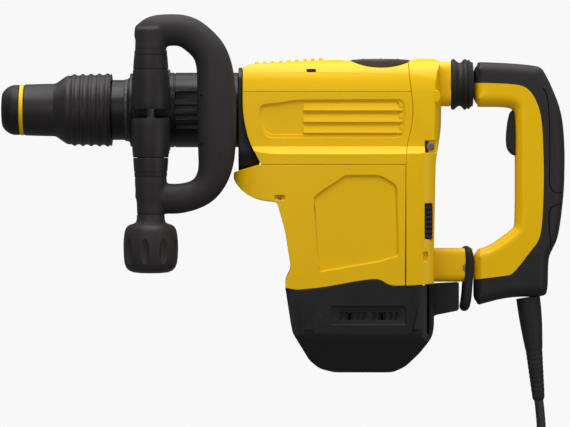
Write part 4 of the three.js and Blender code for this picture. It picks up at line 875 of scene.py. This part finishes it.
# ------------------------------------------------------------------ motor end cap
# A black glass-filled nylon cap under the motor. Two groups of nine slots a side let the cooling air in,
# two grooves run round its foot, and its corners have sunk triangles that keep the wall even.
SLOTS = 9
SLOT_PITCH = 3.1
SLOT_WIDTH = 1.9
SLOT_FLOOR = 53.4
cap_nylon = moulded("end_cap_nylon", (27, 26, 27), (39, 37, 38), 0.42, grain=0.7, depth=0.05)
end_cap = copied("motor_end_cap", "motor_end_cap_shell")
for side in (-1, 1):
    shaped(end_cap, "DIFFERENCE", pocket(-209, -135.4, -145, -126.8, side, 55, edge=0.9))
    for first in (-200.6, -168.8):
        for count in range(SLOTS):
            left = first + count * SLOT_PITCH
            ends = sorted((side * SLOT_FLOOR, side * 60))
            shaped(end_cap, "DIFFERENCE", blocked((left, ends[0], -138.6),
                (left + SLOT_WIDTH, ends[1], -133)))
    for z in (-181.4, -186.4):
        ends = sorted((side * 55, side * 60))
        shaped(end_cap, "DIFFERENCE", blocked((-260, ends[0], z - 0.5), (-60, ends[1], z + 0.5)))
    for outline in ([(-235.6, -150), (-226.2, -150), (-226.2, -174)],
        [(-128.4, -150), (-118.4, -150), (-128.4, -174)]):
        shaped(end_cap, "DIFFERENCE", slab("sunk", outline, *sorted((side * 54.6, side * 60))))
    # A black sheet behind the slots is painted shade: it stands in for the shadow inside the cap that the
    # slots look into.
    slot_shade_sheet = blocked((-203, min(side * 51.2, side * 52.2), -141), (-140, max(side * 51.2, side * 52.2), -130))
    slot_shade_sheet = rounded(slot_shade_sheet, 0.3)
    slot_shade_sheet.name = "vent_slot_shade_near" if side < 0 else "vent_slot_shade_far"
    fitted(slot_shade_sheet, "housing", part_black, "black_plastic")
rounded(end_cap, 0.5, clamp=False)
fitted(end_cap, "housing", cap_nylon, "black_plastic", "motor_end_cap")

# ------------------------------------------------------------------ speed dial
# A nylon disc lies in the top cover and turns on a potentiometer. Its rim is knurled for the finger, and
# seven raised marks stand on its face.
DIAL_X, DIAL_RIM = -159, 33
KNURLS = 48
dial_profile = [(101.7, 0), (101.7, 31.6), (102.4, 32.6), (104, 33), (115.4, 33), (116.8, 32.3),
    (117.6, 30.6), (118, 27), (118.1, 0)]
dial = spun("speed_dial_disc", dial_profile, "Z", (DIAL_X, 0, 0), steps=KNURLS * 4)
only(dial)
for point in dial.data.vertices:
    x, y = point.co.x / MM - DIAL_X, point.co.y / MM
    count = round(math.atan2(y, x) / (2 * math.pi) * KNURLS * 4) % 4
    point.select = math.hypot(x, y) > DIAL_RIM - 1 and count == 0
bpy.ops.object.mode_set(mode="EDIT")
bpy.ops.transform.resize(value=(0.966, 0.966, 1), center_override=at(DIAL_X, 0, 110))
settled(dial, angle=24)
marks = [dial]
for count in range(7):
    turn = math.radians(40 * (count - 3) - 90)
    mark = blocked((DIAL_X - 0.6, 20 - count * 0.6, 117.9), (DIAL_X + 0.6, 28, 118.15))
    bpy.ops.object.mode_set(mode="EDIT")
    bpy.ops.transform.rotate(value=-(turn - math.pi / 2), orient_axis="Z", center_override=at(DIAL_X, 0, 118))
    bpy.ops.object.mode_set(mode="OBJECT")
    marks.append(mark)
dial_nylon = moulded("dial_nylon", (58, 55, 55), (74, 71, 71), 0.4, grain=0.5, depth=0.03)
fitted(together("speed_dial_disc", marks), "speed_dial", dial_nylon, "black_plastic", "speed_dial")

# ------------------------------------------------------------------ upper bellows
# A ribbed rubber sleeve closes the gap between the body and the sprung rear handle, which floats on its
# damper.
BELLOWS_AXIS = 93.6
bellows_profile = [(-87.9, 19.5), (-87.9, 24), (-87.2, 25.1), (-86, 25.5), (-84.7, 25.1), (-83.3, 23.8),
    (-82, 22.6), (-80.8, 21.9)]
bellows_profile += [(-79.6, 21.7), (-78.4, 21.9), (-77, 23), (-75.5, 25), (-74.2, 25.5), (-72.9, 25),
    (-72, 23.6), (-71.4, 24.3)]
bellows_profile += [(-70.6, 24.7), (-69.7, 24.3), (-68.6, 22.8), (-67.4, 22.1), (-66.5, 22), (-66.5, 19.5),
    (-87.9, 19.5)]
bellows = spun("upper_bellows_rubber", bellows_profile, "X", (0, 0, BELLOWS_AXIS), steps=72)
bellows_rubber = moulded("bellows_rubber", (30, 28, 29), (42, 39, 40), 0.5, grain=0.4, depth=0.03)
bellows.data.materials.append(bellows_rubber)
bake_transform(bellows)
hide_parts("upper_bellows")

# ------------------------------------------------------------------ rear handle
# The rear grip is a hollow nylon moulding in two halves: yellow towards the body, with a soft black rubber
# skin moulded over its back and arms, and a black lower boss where the mains cord comes out.
HANDLE_HALF = 18.6
HANDLE_CROWN = 11
HANDLE_VOXEL = 1.25
HANDLE_SEAM = 0.15
HANDLE_LINE = [
    (-65.4, 115.9), (-30, 114.6), (-2.5, 112), (2.6, 109.2), (6.6, 102), (10.8, 94.1), (22, 66.6), (25,
        36), (25.1, 8),
    (24.2, -17), (19, -59), (12.6, -71.5), (8.6, -80), (8.4, -112), (5, -119), (-30, -118.3), (-65.4, -127.9),
]
GAP_LINE = [(-65.4, -69.9), (-53.5, -70.4), (-26, -51), (-24, -46), (-23.8, 10), (-24, 66), (-29, 71.2),
    (-65.4, 71.2)]
YELLOW_LINE = [
    (-69, -101.5), (-35, -97.5), (-27, -95.9), (-9, -72), (-1.5, -63), (2, -47), (3.7, -2), (3, 28), (1.6,
        58.4),
    (-3.5, 76.8), (-12.7, 90), (-27, 93.5), (-69, 94.6),
]


def strip(points, width):
    """The outline of a narrow band that follows a line of (x, z) points."""
    near, far = [], []
    for index, (x, z) in enumerate(points):
        before, after = points[max(index - 1, 0)], points[min(index + 1, len(points) - 1)]
        run = math.hypot(after[0] - before[0], after[1] - before[1])
        off = (-(after[1] - before[1]) / run * width / 2, (after[0] - before[0]) / run * width / 2)
        near.append((x + off[0], z + off[1]))
        far.append((x - off[0], z - off[1]))
    return near + far[::-1]


def twin(piece, name):
    """A copy of a piece with its own mesh."""
    copy = bpy.data.objects.new(name, piece.data.copy())
    bpy.context.collection.objects.link(copy)
    return copy


whole = slab("handle_whole", eased(HANDLE_LINE) + eased(GAP_LINE), -HANDLE_HALF, HANDLE_HALF)
rounded(whole, HANDLE_CROWN, segments=6, angle=60, clamp=False)
softened(whole, HANDLE_VOXEL, 10)
smooth_yellow = eased(YELLOW_LINE)
shell_side = [(x - HANDLE_SEAM, z) for x, z in smooth_yellow] + [(-120, 94.6), (-120, -101.5)]
shell = twin(whole, "handle_shell_yellow")
shaped(shell, "INTERSECT", slab("side", shell_side, -30, 30))
fitted(shell, "rear_handle", yellow.material, "yellow_plastic", "handle_shell")
back_side = [(x + HANDLE_SEAM, z) for x, z in smooth_yellow]
upper_back = [(x, z) for x, z in back_side if z > -77] + [(-120, 94.9), (-120, 140), (60, 140), (60, -72),
    (-12.5, -77)]
lower_back = [(x, z) for x, z in back_side if z < -77.6] + [(-12.9, -77.1), (60, -72.1), (60, -150),
    (-120, -150), (-120, -101.8)]
overmould = twin(whole, "handle_overmould_rubber")
shaped(overmould, "INTERSECT", slab("side", upper_back, -30, 30))
underside = whole
underside.name = "handle_underside_black"
shaped(underside, "INTERSECT", slab("side", lower_back, -30, 30))
PAD_LINES = (
    [(2.6, 89), (6.4, 84), (8.2, 70), (9.4, 40), (9.2, 10), (8.8, -4.9), (11, -12), (16, -16), (26, -13)],
    [(26, -24.6), (14, -27.4), (9, -31), (8.2, -44), (9.6, -60), (11, -72)],
)
for side in (-1, 1):
    for line in PAD_LINES:
        groove = slab("groove", strip(eased(line), 1.0), *sorted((side * 13, side * 24)))
        shaped(overmould, "DIFFERENCE", groove)
grip_skin = moulded("handle_rubber", (38, 35, 36), (50, 46, 47), 0.5, grain=0.5, depth=0.04, scuff=0.08)
fitted(overmould, "rear_handle", grip_skin, "black_rubber", "handle_overmould")
fitted(underside, "rear_handle", part_black, "black_plastic", "handle_underside")

# ------------------------------------------------------------------ trigger and lower strap
# The switch trigger is a black nylon paddle hinged at its top. Below, a rubber strap goes round the pivot of
# the handle's lower arm and keeps dust out of it.
trigger_line = [(-28.6, 68.2), (-31.2, 58), (-32.8, 46), (-33.1, 34), (-31, 27), (-26, 22.4), (-19.6, 22.6),
    (-17.4, 26)]
trigger_line += [(-17.2, 44), (-18.6, 68.2)]
paddle = slab("trigger_paddle", eased(trigger_line, closed=True), -7.8, 7.8)
fitted(rounded(paddle, 2.6, segments=5, angle=60, clamp=False), "trigger", part_black, "black_plastic",
    "trigger")

STRAP_R = 4.4
strap_line = [(-73.2, 10, -72.1), (-71.4, 16.6, -73.2), (-70.2, 17.5, -80), (-70.6, 17.5, -92),
    (-71.8, 17.5, -106)]
strap_line += [(-72.6, 17.5, -118), (-74, 16.6, -126.4), (-75, 10, -128.8)]
strap_line += [(x, -y, z) for x, y, z in reversed(strap_line)]
gaiter = hosed("lower_strap_rubber", [(*place, STRAP_R) for place in strap_line], closed=True)
gaiter.data.materials.append(bellows_rubber)
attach(gaiter, "housing")
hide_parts("lower_gaiter")

# ------------------------------------------------------------------ strain relief, plug and tie
# A tapered rubber sleeve, ribbed so that it bends evenly, guides the cord out of the handle. The far end has
# a moulded two-pin plug, and a hook-and-loop tie holds the coil.
relief_line = [(-11, -119.5, 12), (-10, -127, 12), (-8.2, -142, 11.4), (-6.9, -154, 10.4), (-5.4, -168, 9)]
for step in range(0, 20):
    share = step / 19
    relief_line.append((-5.1 + 4.1 * share, -171 - 43 * share, 8.7 - 1.9 * share - 0.7 * (step % 2)))
relief_line += [(-0.6, -218.6, 6.5), (-0.4, -220.8, 5.6), (-0.3, -221.8, 5)]
relief = hosed("strain_relief_sleeve", [(x, 0, z, radius) for x, z, radius in relief_line])
relief_rubber = moulded("relief_rubber", (34, 32, 33), (46, 43, 44), 0.5, grain=0.5, depth=0.03)
fitted(relief, "rear_handle", relief_rubber, "black_rubber", "strain_relief")

PLUG_Z = -291
plug_line = [(-240.5, 5.4), (-246, 5.8), (-250, 8.2), (-256, 10), (-262, 13), (-268, 15.6), (-276, 17),
    (-283, 17), (-285.8, 15.6)]
plug = hosed("plug_shell", [(x, 0, PLUG_Z, radius) for x, radius in plug_line])
bpy.ops.transform.resize(value=(1, 1, 0.52), center_override=at(-260, 0, PLUG_Z))
bpy.ops.object.transform_apply(location=True, rotation=True, scale=True)
fitted(plug, "rear_handle", relief_rubber, "black_plastic", "plug_body")
pins = []
for y in (-9.5, 9.5):
    pin_profile = [(-286.5, 0), (-286.5, 2.2), (-303.6, 2.2), (-304.8, 1.4), (-305, 0)]
    pins.append(spun("pin", pin_profile, "X", (-290, y, PLUG_Z), steps=28))
brass = Finish("pin_brass", Metallic=1.0)
brass_grain = brass.noise(1.5, stretch=(0.2, 1, 1))
brass.surface(BaseColor=brass.mix(brass_grain, shade(176, 160, 112), shade(214, 200, 156)))
brass.surface(Roughness=0.22 + brass_grain * 0.15)
pin_pair = fitted(together("plug_pins", pins), "rear_handle", brass.material, "bright_steel")

# The tie: a flat band round the coil's section, on the side away from the plug.
tie_x, tie_y = COIL_CENTRE[0], COIL_CENTRE[1] + COIL_MID
tie_outer = eased([(tie_y - 15.2, -299.8), (tie_y + 15, -299.8), (tie_y + 15.2, -262.8),
    (tie_y - 15.4, -262.8)], 3, closed=True)
tie = rail("coil_tie", tie_outer, tie_x - 9, tie_x + 9)
tie_inner = [(tie_y + (y - tie_y) * 0.93, -281.3 + (z + 281.3) * 0.94) for y, z in tie_outer]
shaped(tie, "DIFFERENCE", rail("tie_inner", tie_inner, tie_x - 12, tie_x + 12))
tie_weave = Finish("tie_weave", Roughness=0.85)
tie_loops = tie_weave.noise(0.7, detail=2)
tie_weave.surface(BaseColor=tie_weave.mix(tie_loops, shade(22, 22, 24), shade(48, 47, 50)))
tie_weave.bumps((tie_loops, 0.4))
fitted(tie, "rear_handle", tie_weave.material, "black_rubber")

# ------------------------------------------------------------------ tool holder and hammer works
# Inside: a forged, hardened tool holder with two lock rollers and a sleeve spring; a ground cylinder tube in
# which a piston drives the ram, and the ram strikes the beat piece; and a forged rod on the crank wheel.
def worked(name, low, high, rough, grain, stretch, depth):
    """A bare metal finish: fine tool marks that run one way over a faint cloud, with a film of grease."""
    made = Finish(name, Metallic=1.0)
    tooling = made.noise(grain, detail=5, stretch=stretch)
    film = made.noise(14, detail=4).above(0.52, 0.12)
    made.surface(BaseColor=made.mix(film * 0.35, made.mix(tooling, shade(*low), shade(*high)),
        shade(92, 84, 70)))
    made.surface(Roughness=rough + tooling * 0.16 + film * 0.1)
    made.bumps((tooling, depth))
    return made.material


def finished(finish, *nodes):
    """Gives frame solids whose shapes are right their finish."""
    for node in nodes:
        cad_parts[node].data.materials[0] = finish


ROUND_X = (0.12, 1, 1)
ROUND_Z = (1, 1, 0.12)
finished(worked("holder_forged_steel", (70, 68, 67), (112, 108, 104), 0.34, 1.4, ROUND_X, 0.04),
    "tool_holder")
finished(worked("roller_steel", (150, 148, 145), (196, 193, 188), 0.2, 0.8, ROUND_X, 0.01),
    "lock_roller_upper", "lock_roller_lower")
spring_steel = worked("spring_steel", (92, 90, 90), (140, 137, 134), 0.3, 0.6, (1, 1, 1), 0.02)
for node, body, joint, anchor, keep in (
    ("sleeve_spring", "tool_holder", "lock_sleeve_pull", (-427.1, 0, AXIS), 0.7),
    ("damper_spring", "housing", "rear_handle_float", (-97, 0, BELLOWS_AXIS), 0.74),
    ("trigger_spring", "rear_handle", "trigger_pull", (-10, 0, 30), 0.3),
):
    coil = fitted(copied(node, node + "_coil"), body, spring_steel, "bright_steel", node)
    bpy.ops.object.shade_smooth_by_angle(angle=math.radians(40))
    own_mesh(coil)
finished(worked("tube_ground_steel", (138, 136, 132), (178, 175, 170), 0.18, 0.7, ROUND_X, 0.01),
    "cylinder_tube")
finished(worked("striker_steel", (120, 117, 113), (170, 166, 160), 0.2, 0.9, ROUND_X, 0.015), "beat_piece",
    "ram")
finished(worked("piston_alloy", (150, 149, 146), (188, 186, 182), 0.3, 1.0, ROUND_X, 0.02), "piston")
finished(worked("rod_forged_steel", (84, 80, 77), (128, 122, 116), 0.4, 2.2, (1, 1, 1), 0.08),
    "connecting_rod")
finished(worked("gear_case_steel", (98, 94, 90), (150, 145, 138), 0.28, 1.1, ROUND_Z, 0.02), "crank_gear",
    "rotor_shaft")
finished(worked("bearing_steel", (158, 156, 153), (205, 202, 198), 0.16, 0.7, ROUND_Z, 0.008),
         "crank_bearing", "motor_bearing_upper", "motor_bearing_lower", "handle_pivot_pin")

# ------------------------------------------------------------------ motor and electrics
# A universal motor: stacks of varnished electrical steel on the rotor and stator, enamelled copper coils, a
# copper commutator with carbon brushes in brass holders, a nylon fan, and a potted electronics module.
laminated = Finish("core_laminations", Metallic=0.8)
sheet_lines = laminated.noise(0.9, detail=3, stretch=(0.02, 0.02, 1))
laminated.surface(BaseColor=laminated.mix(sheet_lines, shade(52, 50, 52), shade(104, 100, 98)))
laminated.surface(Roughness=0.38 + sheet_lines * 0.2)
laminated.bumps((sheet_lines, 0.12))
finished(laminated.material, "rotor_core", "stator_core")

enamelled = Finish("coil_enamelled_copper", Metallic=0.7)
strands = enamelled.noise(1.1, detail=3, stretch=(1, 1, 0.05))
enamelled.surface(BaseColor=enamelled.mix(strands, shade(112, 52, 24), shade(186, 100, 52)))
enamelled.surface(Roughness=0.26 + strands * 0.2)
enamelled.bumps((strands, 0.2))
finished(enamelled.material, "stator_windings")

bars_copper = Finish("commutator_copper", Metallic=0.9)
wiped = bars_copper.noise(0.8, detail=4, stretch=ROUND_Z)
bars_copper.surface(BaseColor=bars_copper.mix(wiped, shade(128, 76, 46), shade(206, 132, 88)))
bars_copper.surface(Roughness=0.24 + wiped * 0.2)
bars_copper.bumps((wiped, 0.03))
finished(bars_copper.material, "commutator")

carbon = Finish("brush_carbon")
carbon_grain = carbon.noise(0.5, detail=3)
carbon.surface(BaseColor=carbon.mix(carbon_grain, shade(24, 24, 26), shade(50, 50, 54)))
carbon.surface(Roughness=0.55 + carbon_grain * 0.2)
carbon.bumps((carbon_grain, 0.05))
finished(carbon.material, "carbon_brush_left", "carbon_brush_right")
finished(worked("holder_brass", (140, 112, 52), (196, 164, 92), 0.28, 1.0, ROUND_Z, 0.02),
    "brush_holder_left", "brush_holder_right")
finished(moulded("fan_nylon", (28, 27, 29), (42, 40, 42), 0.38, grain=0.6), "cooling_fan")
finished(moulded("switch_nylon", (34, 33, 35), (46, 45, 47), 0.42, grain=0.5), "switch_module")

potting = Finish("module_potting", CoatWeight=0.4)
fill = potting.noise(6, detail=5)
specks = potting.noise(1.6, detail=2).above(0.64, 0.02)
potting.surface(BaseColor=potting.mix(specks, potting.mix(fill, shade(20, 52, 34), shade(34, 78, 50)),
    shade(150, 140, 90)))
potting.surface(Roughness=0.3 + fill * 0.25)
potting.bumps((fill, 0.3), (specks, 0.2))
finished(potting.material, "electronics_module")
